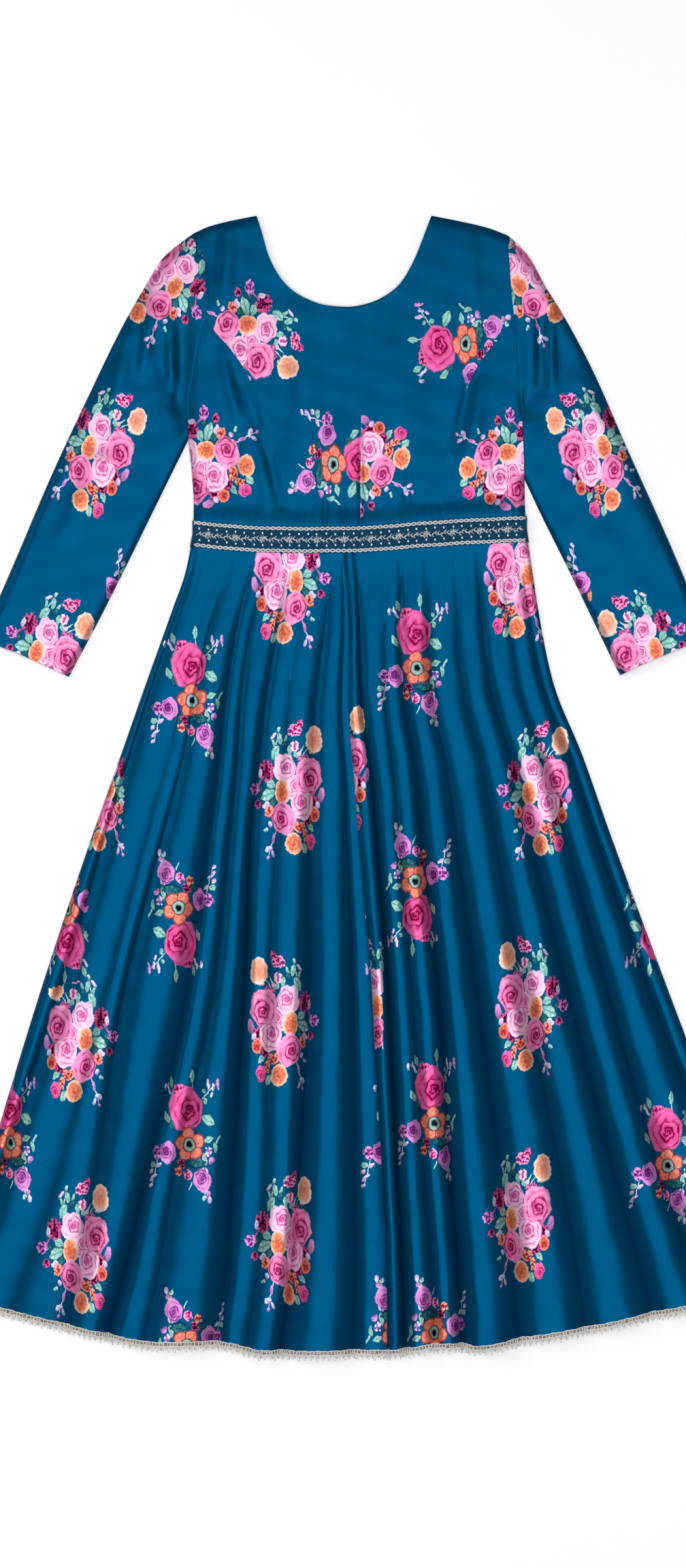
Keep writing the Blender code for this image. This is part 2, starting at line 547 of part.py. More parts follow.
def build_sleeve(name, outer, inner, upper, lower, cuff):
    """One flattened tube: its underside is level, and its top stands a little open at the cuff."""
    armhole = join(curve(upper, ARMHOLE_UPPER_STEPS), curve(lower, ARMHOLE_LOWER_STEPS))
    across = along(armhole) / along(armhole)[-1]
    sides = curve(outer, SLEEVE_STEPS), curve(inner, SLEEVE_STEPS)
    plan = trim_seams(patch(*sides, armhole, curve(cuff, across), across), ("top",))
    x, y = plan[..., 0], plan[..., 1]
    down = np.array(SLEEVE_STEPS)[:, None]
    puff = PUFF_BODICE + (PUFF_CUFF - PUFF_BODICE) * eased(down)
    height = FRONT_REST + puff * puff_shape(x, y) + crease_rise(x, y)
    for corner in (0, -1):
        step = plan[1, corner] - plan[0, corner]
        plan[0, corner] += SLEEVE_CORNER_TRIM * step / np.linalg.norm(step)
    edges = plan[:, (0, -1)].copy()
    for edge, inside in ((0, 1), (-1, -2)):
        step = plan[:, inside] - plan[:, edge]
        plan[:, edge] += SLEEVE_EDGE_ROUND * step / np.linalg.norm(step, axis=1, keepdims=True)
    level = np.zeros_like(height)
    halfway = np.full((len(plan), 1), FRONT_REST / 2)
    top = lay(plan, height)
    under = lay(plan[:, ::-1], level)
    points = np.concatenate([top, lay(edges[:, 1:], halfway), under, lay(edges[:, :1], halfway)], axis=1)
    wall(name, "satin", points, CLOTH, ring=True)


def build_skirt_front(name, first, last, seam_edge):
    """A front panel of the skirt between two lines of FOLDS, one of which is the centre seam."""
    down = np.array(SKIRT_STEPS)
    across, rise = folds(first, last, down)
    plan = trim_seams(skirt_plan(across, down[:, None]), (seam_edge, "top"))
    height = front_top(plan[..., 0], plan[..., 1]) + rise
    wall(name, "satin", lay(plan, height), CLOTH)


def build_skirt_back():
    down = np.array(SKIRT_STEPS)[:, None]
    across = np.linspace(0.0, 1.0, SKIRT_BACK_ACROSS + 1)
    plan = trim_seams(skirt_plan(across, down), ("top",))
    wall("skirt_back", "satin", lay(plan, back_top(plan[..., 0], plan[..., 1])), CLOTH)


def build_hem_braid():
    """The braid, in two lengths: it goes on from the edge of the cloth, in line with its folds."""
    end = np.array([1.0])
    across, rise = folds(0, len(FOLDS) - 1, end)
    places = {"front": across[0], "back": np.linspace(0.0, 1.0, SKIRT_BACK_ACROSS + 1)}
    for side, place in places.items():
        edge = skirt_plan(place, end)
        drop = np.array([[0.0, SEAM_GAP], [0.0, SEAM_GAP + BRAID_WIDTH]])
        plan = edge[None] - drop[:, None]
        level = front_top(*edge.T) + rise[0] if side == "front" else back_top(*edge.T)
        wall("hem_trim_" + side, "braid", lay(plan, np.stack([level, level])), BRAID_WALL)


def build_belt():
    """The band as a ring round the waist, from its inner surface, with a proud row along each edge."""
    half = BELT_HEIGHT / 2
    up = np.array([half, half - BELT_EDGE_ROW, half - BELT_EDGE_ROW - MM])
    up = np.concatenate([up, -up[::-1]])
    proud = BELT_WALL + BELT_EDGE_RISE
    raised = np.array([True, True, False, False, True, True])
    rows = []
    for height in up:
        down = max(0.0, -height) / (waist_y(0.0) - hem_y(0.0))
        left = skirt_plan(0.0, down)[0] - SEAM_GAP
        right = skirt_plan(1.0, down)[0] + SEAM_GAP
        x = left + np.array(BELT_ACROSS) * (right - left)
        y = waist_y(x) + height
        top = front_top(np.clip(x, left + BELT_REST, right - BELT_REST), y) + SEAM_GAP
        over = np.stack([x, y, top], axis=1)
        under = np.stack([x[::-1], y[::-1], np.full_like(x, BELT_WALL)], axis=1)
        rows.append(np.concatenate([over, under]))
    points = np.stack(rows)
    on_top = np.arange(points.shape[1]) < len(BELT_ACROSS)
    share = np.where(raised[:, None] & on_top, 1.0, BELT_WALL / proud)
    wall("belt", "embroidery", points, proud, ring=True, share=share)


clear_scene()
GOWN = bpy.data.collections.new("anarkali_gown")
bpy.context.scene.collection.children.link(GOWN)

build_bodice_back()
build_bodice_centre()
build_bodice_side(
    "bodice_front_side_left", ARMHOLE_LOWER_LEFT, SIDE_LEFT, PRINCESS_LEFT, PRINCESS_STEPS_LEFT, "left"
)
build_bodice_side(
    "bodice_front_side_right", ARMHOLE_LOWER_RIGHT, SIDE_RIGHT, princess_right(), PRINCESS_STEPS_RIGHT,
    "right",
)
build_sleeve(
    "sleeve_left", SLEEVE_OUTER_LEFT, SLEEVE_INNER_LEFT, ARMHOLE_UPPER_LEFT, ARMHOLE_LOWER_LEFT, CUFF_LEFT,
)
build_sleeve(
    "sleeve_right", SLEEVE_OUTER_RIGHT, SLEEVE_INNER_RIGHT, ARMHOLE_UPPER_RIGHT, ARMHOLE_LOWER_RIGHT,
    CUFF_RIGHT,
)
build_skirt_back()
build_skirt_front("skirt_front_left", 0, SEAM_LINE, "right")
build_skirt_front("skirt_front_right", SEAM_LINE, len(FOLDS) - 1, "left")
build_hem_braid()
build_belt()
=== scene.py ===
"""An anarkali gown of printed satin, laid flat: bodice, sleeves, flared skirt, belt and hem braid.

X runs across the gown, Y from the hem up to the neck, Z upwards. Tables hold millimetres, degrees
and fractions between 0 and 1. Points, lengths and heights are in metres.
"""

import bpy
import numpy as np
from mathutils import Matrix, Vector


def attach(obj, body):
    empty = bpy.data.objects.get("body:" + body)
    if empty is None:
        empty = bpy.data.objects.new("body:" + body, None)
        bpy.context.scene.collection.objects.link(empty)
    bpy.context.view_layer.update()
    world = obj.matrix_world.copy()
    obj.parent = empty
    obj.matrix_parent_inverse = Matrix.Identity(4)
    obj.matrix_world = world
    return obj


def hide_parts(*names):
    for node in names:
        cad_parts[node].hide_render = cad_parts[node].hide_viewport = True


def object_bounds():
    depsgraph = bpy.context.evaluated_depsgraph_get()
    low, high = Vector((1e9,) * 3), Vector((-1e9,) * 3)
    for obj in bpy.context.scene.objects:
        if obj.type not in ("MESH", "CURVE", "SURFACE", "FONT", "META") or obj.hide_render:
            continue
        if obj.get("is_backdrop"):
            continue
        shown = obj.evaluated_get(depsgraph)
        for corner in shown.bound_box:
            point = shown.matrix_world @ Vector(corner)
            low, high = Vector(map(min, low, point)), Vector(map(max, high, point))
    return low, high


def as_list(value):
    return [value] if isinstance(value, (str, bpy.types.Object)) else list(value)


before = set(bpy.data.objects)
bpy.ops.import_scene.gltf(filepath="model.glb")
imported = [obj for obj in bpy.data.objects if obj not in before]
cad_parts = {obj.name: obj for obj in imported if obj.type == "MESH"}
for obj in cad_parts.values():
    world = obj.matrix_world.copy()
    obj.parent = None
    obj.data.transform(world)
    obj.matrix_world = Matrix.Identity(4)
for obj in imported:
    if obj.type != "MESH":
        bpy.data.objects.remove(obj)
CAD_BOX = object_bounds()
MM = 0.001

# ================================================================ printed satin
# The cloth of the whole gown: a heavy polyester satin in teal, with a soft, even lustre.
# Watercolour flowers are printed on it from the face side, in bouquets and in smaller sprays.
# Each piece is cut from the roll with the print turned as it falls.


class Wire:
    """A value in a material: arithmetic on it adds the Math nodes that work it out."""

    def __init__(self, net, socket):
        self.net = net
        self.socket = socket

    def __add__(self, other):
        return self.net.math("ADD", self, other)

    __radd__ = __add__

    def __sub__(self, other):
        return self.net.math("SUBTRACT", self, other)

    def __rsub__(self, other):
        return self.net.math("SUBTRACT", other, self)

    def __mul__(self, other):
        return self.net.math("MULTIPLY", self, other)

    __rmul__ = __mul__

    def __abs__(self):
        return self.net.math("ABSOLUTE", self)

    def times(self, factor, plus, clamp=False):
        """This value times a factor, plus another, and held between 0 and 1 if clamp is true."""
        return self.net.math("MULTIPLY_ADD", self, factor, plus, clamp=clamp)


class Net:
    """The nodes of one material."""

    def __init__(self, name):
        self.material = bpy.data.materials.new(name)
        self.material.use_nodes = True
        self.tree = self.material.node_tree
        self.tree.nodes.clear()

    def add(self, kind, inputs=(), output=0, **settings):
        """A node of one type: first its settings, then the values or links of its sockets."""
        node = self.tree.nodes.new(kind)
        for setting, value in settings.items():
            setattr(node, setting, value)
        for socket, value in dict(inputs).items():
            if isinstance(value, Wire):
                self.tree.links.new(value.socket, node.inputs[socket])
            else:
                node.inputs[socket].default_value = value
        return Wire(self, node.outputs[output]) if node.outputs else None

    def math(self, operation, *values, clamp=False):
        """Arithmetic on numbers, held between 0 and 1 if clamp is true."""
        return self.add("ShaderNodeMath", enumerate(values), operation=operation, use_clamp=clamp)

    def dot(self, one, other):
        """The dot product of two vectors."""
        return self.add("ShaderNodeVectorMath", {0: one, 1: other}, output=1, operation="DOT_PRODUCT")

    def blend(self, factor, under, over):
        """One colour laid over another."""
        return self.add("ShaderNodeMix", {0: factor, 6: under, 7: over}, output=2, data_type="RGBA")

    def place(self):
        """The place on the gown, in metres."""
        return self.add("ShaderNodeTexCoord", output="Object")

    def split(self, vector):
        """The three parts of a vector."""
        parts = self.add("ShaderNodeSeparateXYZ", {0: vector})
        outputs = parts.socket.node.outputs
        return [Wire(self, outputs[axis]) for axis in "XYZ"]

    def noise(self, vector, scale, detail=2.0, output=0):
        """Soft clouds with that many to a unit of the vector: one value, or three as output 1."""
        return self.add(
            "ShaderNodeTexNoise", {"Vector": vector, "Scale": scale, "Detail": detail}, output=output
        )

    def bumped(self, height, distance, strength=1.0):
        """The normal of a surface with a fine relief, whose height is from 0 to 1 over that distance."""
        sockets = {"Height": height, "Distance": distance, "Strength": strength}
        return self.add("ShaderNodeBump", sockets)

    def surface(self, shader):
        """Ends the material with what it looks like."""
        self.add("ShaderNodeOutputMaterial", {"Surface": shader})
        return self.material

    def finish(self, sockets):
        """Ends the material with one finish all over, from the sockets of its shader."""
        return self.surface(self.add("ShaderNodeBsdfPrincipled", sockets))


def dye(red, green, blue, strength=1.0):
    """A colour from its parts out of 255, as light adds up, and how much of it the cloth takes."""
    part = np.array([red, green, blue]) / 255
    light = np.where(part < 0.04045, part / 12.92, ((part + 0.055) / 1.055) ** 2.4)
    return (*(light * strength).tolist(), 1.0)


TEAL = dye(0, 61, 94)
TEAL_CLOUD = dye(0, 66, 100)
INK_STRENGTH = 0.57  # the lit satin shows an ink about twice as bright as its colour
INK_TONES = {
    # name: dark, middle, light
    "magenta": ((116, 8, 58), (208, 26, 108), (238, 112, 178)),
    "pink": ((136, 18, 80), (226, 70, 142), (248, 162, 210)),
    "blush": ((196, 70, 140), (234, 142, 198), (253, 214, 236)),
    "orange": ((200, 86, 66), (240, 144, 108), (253, 210, 180)),
    "peach": ((230, 138, 110), (247, 180, 152), (255, 230, 212)),
    "coral": ((150, 36, 50), (230, 106, 88), (246, 160, 136)),
    "burgundy": ((62, 6, 42), (128, 18, 76), (204, 84, 142)),
    "purple": ((100, 30, 108), (176, 80, 172), (226, 152, 218)),
    "lavender": ((118, 78, 158), (180, 144, 210), (226, 208, 242)),
    "mint": ((22, 76, 90), (116, 178, 172), (180, 224, 214)),
    "sea": ((6, 44, 68), (18, 84, 100), (64, 136, 138)),
}
INKS = {name: [dye(*tone, INK_STRENGTH) for tone in tones] for name, tones in INK_TONES.items()}
# Flowers of one motif, in mm from its middle and from the bottom layer up
BOUQUET = (
    # kind, x, y, width, height, turn, ink
    ("stem", -31, -64, 40, 1.6, 68, "lavender"),
    ("stem", -24, 60, 34, 1.6, 82, "mint"),
    ("bud", -35, -41, 7, 9, 0, "lavender"),
    ("bud", -41, -49, 8, 6, 20, "mint"),
    ("bud", -29, -59, 6, 13, -12, "purple"),
    ("bud", -37, -72, 14, 7, 14, "lavender"),
    ("bud", -30, -78, 6, 10, 20, "lavender"),
    ("bud", -38, -83, 6, 6, 0, "purple"),
    ("bud", -29, 69, 11, 5, 50, "lavender"),
    ("bud", -21, 77, 5, 8, -20, "mint"),
    ("leaf", -28, 59, 16, 7, 104, "mint"),
    ("leaf", -19, 66, 19, 10, 108, "mint"),
    ("leaf", -11, 59, 17, 7, 74, "sea"),
    ("leaf", -9, 66, 12, 5, 70, "mint"),
    ("leaf", -26, 48, 25, 15, 58, "mint"),
    ("leaf", -2, 51, 18, 9, 94, "mint"),
    ("leaf", 8, 45, 13, 9, 130, "mint"),
    ("leaf", -48, 2, 17, 9, 150, "sea"),
    ("leaf", -33, 9, 19, 14, 160, "mint"),
    ("leaf", -38, -4, 29, 18, 200, "mint"),
    ("leaf", -30, -13, 20, 11, 220, "sea"),
    ("leaf", 0, 0, 13, 11, 40, "mint"),
    ("leaf", 34, -45, 17, 11, -48, "mint"),
    ("leaf", 22, -70, 17, 13, -70, "mint"),
    ("leaf", 45, -12, 13, 8, 10, "sea"),
    ("leaf", 2, -50, 17, 9, 40, "sea"),
    ("stem", 16, 51, 19, 1.8, 52, "mint"),
    ("stem", 22, 49, 16, 1.8, 46, "mint"),
    ("stem", -50, 11, 15, 1.6, 55, "burgundy"),
    ("cluster", -40, 26, 27, 29, 20, "burgundy"),
    ("bud", -51, 22, 7, 15, 0, "lavender"),
    ("cluster", -61, 3, 20, 15, 10, "purple"),
    ("cluster", -55, -16, 13, 12, 0, "burgundy"),
    ("bud", -41, -17, 13, 9, 30, "lavender"),
    ("cluster", -35, -25, 19, 18, 20, "coral"),
    ("cluster", 39, -13, 18, 17, 0, "burgundy"),
    ("cluster", 29, -35, 20, 15, 40, "burgundy"),
    ("bud", 52, -4, 11, 21, -10, "purple"),
    ("bud", 47, -17, 8, 10, 10, "lavender"),
    ("bloom", 41, -29, 17, 20, 0, "coral"),
    ("cluster", 6, 76, 24, 17, 0, "pink"),
    ("cluster", 14, 84, 11, 11, 0, "magenta"),
    ("cluster", 6, 56, 14, 16, -10, "blush"),
    ("bud", 13, 47, 8, 7, 0, "blush"),
    ("bloom", 38, 64, 31, 37, 0, "peach"),
    ("rose", 4, 5, 34, 30, 60, "blush"),
    ("rose", -11, 29, 37, 38, 60, "blush"),
    ("cluster", 21, 38, 22, 18, 0, "magenta"),
    ("rose", 29, 19, 48, 50, -20, "pink"),
    ("rose", 18, -17, 39, 40, 150, "blush"),
    ("bloom", -15, -1, 25, 32, 6, "orange"),
    ("rose", -12, -34, 39, 45, 220, "pink"),
    ("cluster", 13, -44, 21, 16, 0, "coral"),
    ("cluster", 25, -55, 11, 18, 10, "coral"),
    ("bloom", 4, -65, 28, 29, 100, "orange"),
    ("rose", 35, -63, 16, 21, 0, "magenta"),
)
SPRAY = (
    # kind, x, y, width, height, turn, ink
    ("stem", -29, 43, 38, 1.5, 145, "mint"),
    ("stem", 35, 43, 42, 1.5, 38, "mint"),
    ("stem", -56, -56, 40, 1.5, 72, "lavender"),
    ("stem", 32, -82, 24, 1.5, 116, "mint"),
    ("leaf", 8, 63, 20, 10, 88, "mint"),
    ("stem", 8, 53, 14, 1.6, 90, "mint"),
    ("leaf", -29, 56, 18, 9, 106, "mint"),
    ("bud", -33, 47, 18, 4.5, 118, "lavender"),
    ("bud", -44, 49, 5, 9, 0, "lavender"),
    ("bud", 36, 53, 15, 6, 98, "lavender"),
    ("bud", 44, 50, 10, 5, 88, "lavender"),
    ("bud", 52, 53, 17, 5, 94, "purple"),
    ("bud", 42, 40, 8, 5, 60, "lavender"),
    ("bud", 29, 45, 7, 5, 130, "mint"),
    ("leaf", 31, 33, 14, 8, 118, "mint"),
    ("leaf", 34, 9, 26, 16, -24, "mint"),
    ("leaf", -35, 12, 22, 11, 128, "mint"),
    ("leaf", -27, 2, 16, 8, 110, "sea"),
    ("leaf", 34, -16, 18, 10, 10, "mint"),
    ("leaf", 45, -26, 15, 8, 100, "mint"),
    ("bud", 50, -16, 15, 4, 62, "mint"),
    ("leaf", 28, -40, 21, 9, 105, "mint"),
    ("cluster", 34, -31, 12, 12, 0, "lavender"),
    ("bud", 39, -42, 12, 8, 40, "purple"),
    ("leaf", 13, -43, 34, 17, -8, "sea"),
    ("leaf", -20, -46, 16, 8, 20, "sea"),
    ("stem", 5, -73, 12, 2.2, 62, "mint"),
    ("cluster", -11, -47, 14, 12, 0, "burgundy"),
    ("bud", 29, -80, 5, 9, -10, "lavender"),
    ("bud", 27, -88, 9, 7, 20, "mint"),
    ("bud", 36, -90, 8, 9, 0, "lavender"),
    ("bud", 34, -84, 6, 6, 0, "purple"),
    ("leaf", -60, -47, 14, 8, 10, "mint"),
    ("bud", -49, -47, 11, 6, 30, "lavender"),
    ("bud", -63, -55, 9, 7, 0, "lavender"),
    ("bud", -59, -62, 17, 4.5, 38, "lavender"),
    ("bud", -62, -72, 9, 6, 20, "lavender"),
    ("cluster", -54, -32, 17, 18, 0, "purple"),
    ("rose", -34, -32, 28, 29, 200, "purple"),
    ("cluster", -16, -56, 15, 14, 0, "coral"),
    ("cluster", 1, -59, 15, 14, 0, "pink"),
    ("cluster", 27, -55, 14, 12, 0, "lavender"),
    ("rose", 24, -66, 31, 28, 140, "purple"),
    ("cluster", -12, 45, 27, 17, 0, "magenta"),
    ("rose", -3, 22, 59, 56, 10, "magenta"),
    ("anemone", 3, -22, 50, 42, 0, "coral"),
)
MOTIF_REACH = (90.0, 114.0)  # nothing of a motif is past this ellipse, across and up
SPRAY_OFFSET = 1000.0  # added across the map where the nearest motif is a spray
PRINT_ACROSS = 0.775  # the print is this much narrower across the roll than it was drawn
INK_DRIFT = 7.0  # mm from the least to the most that the ink wanders from its drawn line


class Painting:
    """Watercolour on a motif's place: each flower is one layer on top of those before it.

    A place is the vector (across, up, 1), so a dot product turns, moves and scales it in one step.
    A flower's ellipse is its middle, width, height and turn."""

    def __init__(self, net, place, ground, wash, grain):
        self.net = net
        self.place = place
        self.colour = ground
        self.wash = wash
        self.grain = grain

    def spot(self, x, y, width, height, turn):
        """Place in an ellipse turned anticlockwise, scaled so that its rim is the unit circle."""
        cos, sin = np.cos(np.radians(turn)), np.sin(np.radians(turn))
        along = np.array([cos, sin, -x * cos - y * sin]) * 2 / width
        across = np.array([-sin, cos, x * sin - y * cos]) * 2 / height
        return [self.net.dot(self.place, tuple(axis.tolist())) for axis in (along, across)]

    def far(self, u, v):
        """Distance from the middle: the root of u squared plus v squared."""
        return self.net.math("SQRT", self.net.math("MULTIPLY_ADD", u, u, v * v))

    def lay(self, mask, colour):
        """Paints a colour over what is there, where the mask is 1."""
        self.colour = self.net.blend(mask, self.colour, colour)

    def rose(self, ellipse, inks):
        """Petals wind round an off-centre heart, and each turn of the spiral starts with a dark line.

        Turns = angle / 2 pi + 4 * root of the distance from the heart, with a wave for the petals.
        Tone falls from the heart to the rim, a wash drifts through it, and the rim is pale."""
        dark, middle, light = inks
        u, v = self.spot(*ellipse)
        off_u, off_v = u - 0.16, v + 0.12
        near, angle = self.far(off_u, off_v), self.net.math("ARCTAN2", off_v, off_u)
        petals = self.net.math("SINE", angle.times(5.0, near * 4.0))
        winding = self.net.math("SQRT", near).times(4.0, angle.times(0.5 / np.pi, petals * 0.10))
        line = self.net.math("FRACT", winding).times(-1.9, 1.0, clamp=True)
        tone = line * near.times(-0.32, 0.78) + near.times(-0.80, self.wash.times(1.3, 0.20))
        rim = self.far(u, v) + petals * 0.05
        petal = self.net.blend(rim.times(6.0, -5.0, clamp=True), self.net.blend(tone, light, middle), light)
        inked = self.net.blend(tone.times(2.1, -1.12, clamp=True), petal, dark)
        self.lay(rim.times(-11.0, 11.0, clamp=True), inked)

    def bloom(self, ellipse, inks):
        """A round flower: a pale rim round a mottled wash that is darker in the middle."""
        dark, middle, light = inks
        rim = self.far(*self.spot(*ellipse)) + self.wash.times(0.5, -0.25)
        tone = rim.times(-0.9, self.grain.times(3.4, -0.85))
        inked = self.net.blend(rim.times(4.0, -2.8, clamp=True), self.net.blend(tone, middle, dark), light)
        self.lay(rim.times(-10.0, 10.0, clamp=True), inked)

    def leaf(self, ellipse, inks):
        """1 - along squared - |across| is above 0 in a blade with two points; a line runs down it."""
        dark, middle, light = inks
        along, across = self.spot(*ellipse)
        off = abs(across)
        blade = self.net.math("MULTIPLY_ADD", along, along, off)
        wash = self.net.blend(self.grain.times(2.4, along.times(0.4, -0.9), clamp=True), middle, light)
        body = blade.times(-5.0, 4.4, clamp=True) * off.times(9.0, 0.1, clamp=True)
        self.lay(blade.times(-8.0, 8.4, clamp=True), self.net.blend(body, dark, wash))

    def bud(self, ellipse, inks):
        """A small petal or bud: a pale ellipse with a darker side and mottling."""
        dark, _, light = inks
        u, v = self.spot(*ellipse)
        wash = self.net.blend(v.times(-0.5, self.grain.times(1.4, -0.45), clamp=True), light, dark)
        self.lay(self.far(u, v).times(-5.0, 5.0, clamp=True), wash)

    def cluster(self, ellipse, inks):
        """Crowded small petals: fine grain breaks up both the outline and the wash."""
        dark, middle, light = inks
        far = self.far(*self.spot(*ellipse))
        wash = self.net.blend(self.grain.times(5.0, -2.0, clamp=True), dark, middle)
        spotted = self.net.blend(self.grain.times(8.0, far.times(1.6, -4.5), clamp=True), wash, light)
        self.lay(far.times(-6.0, self.grain.times(4.5, 3.6), clamp=True), spotted)

    def stem(self, ellipse, inks):
        """A thin, soft line of pale ink: a long ellipse."""
        far = self.far(*self.spot(*ellipse))
        self.lay(far.times(-2.0, 2.2, clamp=True), inks[2])

    def anemone(self, ellipse, inks):
        """Five round petals with dark edges, round a grey ring and a black middle."""
        dark, middle, light = inks
        u, v = self.spot(*ellipse)
        far, angle = self.far(u, v), self.net.math("ARCTAN2", v, u)
        notch = abs(self.net.math("SINE", angle.times(2.5, 0.5)))
        rim = notch.times(0.24, 0.78) - far
        wash = self.net.blend(self.grain.times(2.0, far.times(0.6, -1.0), clamp=True), middle, light)
        body = rim.times(12.0, -0.2, clamp=True) * notch.times(4.5, 0.0, clamp=True)
        self.lay(rim.times(12.0, 0.7, clamp=True), self.net.blend(body, dark, wash))
        self.lay(far.times(-14.0, 6.9, clamp=True), dye(40, 40, 58, INK_STRENGTH))
        self.lay(far.times(-14.0, 5.9, clamp=True), dye(150, 182, 172, INK_STRENGTH))
        self.lay(far.times(-9.0, 2.4, clamp=True), dye(10, 26, 40, INK_STRENGTH))

    def motif(self, flowers):
        """The colour of a motif once all of its flowers are painted, from the bottom one up."""
        for kind, *ellipse, ink in flowers:
            getattr(self, kind)(ellipse, INKS[ink])
        return self.colour


def printed_satin():
    """Plain satin away from the motifs, and a painting over the same satin on each motif's place.

    The print map gives each place on its nearest motif. Slow clouds let the outlines drift by up
    to half of INK_DRIFT, and finer ones mottle the washes."""
    net = Net("printed_satin")
    spot = net.place()
    slub = net.noise(net.add("ShaderNodeMapping", {0: spot, 3: (140.0, 2200.0, 400.0)}), 1.0)
    cloudy = net.noise(spot, 34.0)
    relief = net.bumped(slub, 0.00006, 0.5)
    ground = net.blend(cloudy.times(0.5, -0.05, clamp=True), TEAL, TEAL_CLOUD)
    lustre = cloudy.times(0.08, 0.29)

    def satin(colour):
        """The cloth in one colour: a dull sheen of the fibre, with fine slubs across it."""
        sockets = {"Base Color": colour, "Roughness": lustre, "Metallic": 0.45, "Normal": relief}
        return net.add("ShaderNodeBsdfPrincipled", {**sockets, "Specular IOR Level": 0.0})

    print_map = net.add("ShaderNodeUVMap", uv_map="print")
    x, y, _ = net.split(print_map)
    in_spray = net.math("GREATER_THAN", x, SPRAY_OFFSET / 2)
    x = in_spray.times(-SPRAY_OFFSET, x)
    near = x * x * (1 / MOTIF_REACH[0] ** 2) + y * y * (1 / MOTIF_REACH[1] ** 2)
    in_motif = net.math("LESS_THAN", near, 1.0)
    east, north, _ = net.split(net.noise(print_map, 0.13, 3.0, output=1))
    x_drift = east.times(INK_DRIFT, -INK_DRIFT / 2)
    y_drift = north.times(INK_DRIFT, -INK_DRIFT / 2)
    drifted = {0: x + x_drift, 1: y + y_drift, 2: 1.0}
    place = net.add("ShaderNodeCombineXYZ", drifted)
    washes = net.noise(print_map, 0.085), net.noise(print_map, 0.26, 1.0)
    bouquet = satin(Painting(net, place, ground, *washes).motif(BOUQUET))
    spray = satin(Painting(net, place, ground, *washes).motif(SPRAY))
    flowers = net.add("ShaderNodeMixShader", {0: in_spray, 1: bouquet, 2: spray})
    return net.surface(net.add("ShaderNodeMixShader", {0: in_motif, 1: satin(ground), 2: flowers}))


PRINTED_SATIN = printed_satin()

# ================================================================ back of the bodice
# One flat piece of the satin, with the neck, armholes and sides of the whole bodice. It is sewn to
# the front at the shoulders and sides. It lies face down on the surface, and steps over the belt
# where the band passes below it.

CLOTH = 1.2 * MM  # thickness given to each layer of the satin
SHARP_FOLD = 0.42  # radians: a tighter bend than this from one column to the next is a crease
SEAM_GAP = 0.3 * MM  # between pieces that are sewn together, and between layers that touch
NECK_POINT_LEFT = (-131.8, 710.6)
NECK_POINT_RIGHT = (86.7, 710.6)
NECK = (
    NECK_POINT_LEFT, (-125.8, 692.0), (-115.6, 658.0), (-94.4, 624.0), (-69.7, 607.0), (-44.0, 598.5),
    (-17.0, 596.5), (3.0, 599.5), (23.0, 607.0), (46.0, 624.0), (64.0, 653.0), (78.2, 688.0),
    NECK_POINT_RIGHT,
)
SHOULDER_LEFT = (-210.0, 688.5)
SHOULDER_RIGHT = (181.9, 686.0)
SHOULDER_SEAM_LEFT = (SHOULDER_LEFT, (-190.0, 697.5), (-160.0, 705.0), NECK_POINT_LEFT)
SHOULDER_SEAM_RIGHT = (NECK_POINT_RIGHT, (125.0, 703.0), (158.0, 695.0), SHOULDER_RIGHT)
PRINCESS_TOP_LEFT = (-193.8, 583.0)
PRINCESS_TOP_RIGHT = (189.5, 586.5)
ARMHOLE_UPPER_LEFT = (SHOULDER_LEFT, (-203.0, 672.0), (-194.6, 647.0), (-191.3, 615.5), PRINCESS_TOP_LEFT)
ARMHOLE_UPPER_RIGHT = (SHOULDER_RIGHT, (182.8, 665.0), (184.5, 641.0), (186.2, 615.5), PRINCESS_TOP_RIGHT)
ARMPIT_LEFT = (-216.8, 432.0)
ARMPIT_RIGHT = (202.3, 383.5)
ARMHOLE_LOWER_LEFT = (PRINCESS_TOP_LEFT, (-201.0, 560.0), (-210.8, 513.5), (-216.4, 471.0), ARMPIT_LEFT)
ARMHOLE_LOWER_RIGHT = (PRINCESS_TOP_RIGHT, (192.0, 547.5), (195.5, 505.0), (199.8, 454.0), ARMPIT_RIGHT)
SIDE_LEFT = (ARMPIT_LEFT, (-211.7, 386.0), (-209.6, 350.0), (-210.0, 313.7))
SIDE_RIGHT = (ARMPIT_RIGHT, (202.6, 360.0), (203.2, 335.0), (204.0, 319.6))
WAIST = (
    (-210.0, 313.7), (-136.0, 307.3), (-70.0, 306.0), (-2.0, 306.9), (71.4, 312.4), (143.0, 317.0),
    (204.0, 319.6),
)
BELT_HEIGHT = 33 * MM
BELT_WALL = 1.8 * MM
BELT_LIFT = BELT_WALL + SEAM_GAP  # the back cloth steps over the band by this much
BELT_STEP = 24 * MM  # length of that step, up and down
BELT_CLEAR = 2.5 * MM  # level cloth past each edge of the band
# Edges of a piece of cloth: how far out and down its surface goes past the last row, in mm
SEWN = ((0.10, 0.25), (0.14, 0.80))
FOLDED = ((0.30, 0.12), (0.50, 0.45), (0.50, 0.95), (0.30, 1.35))


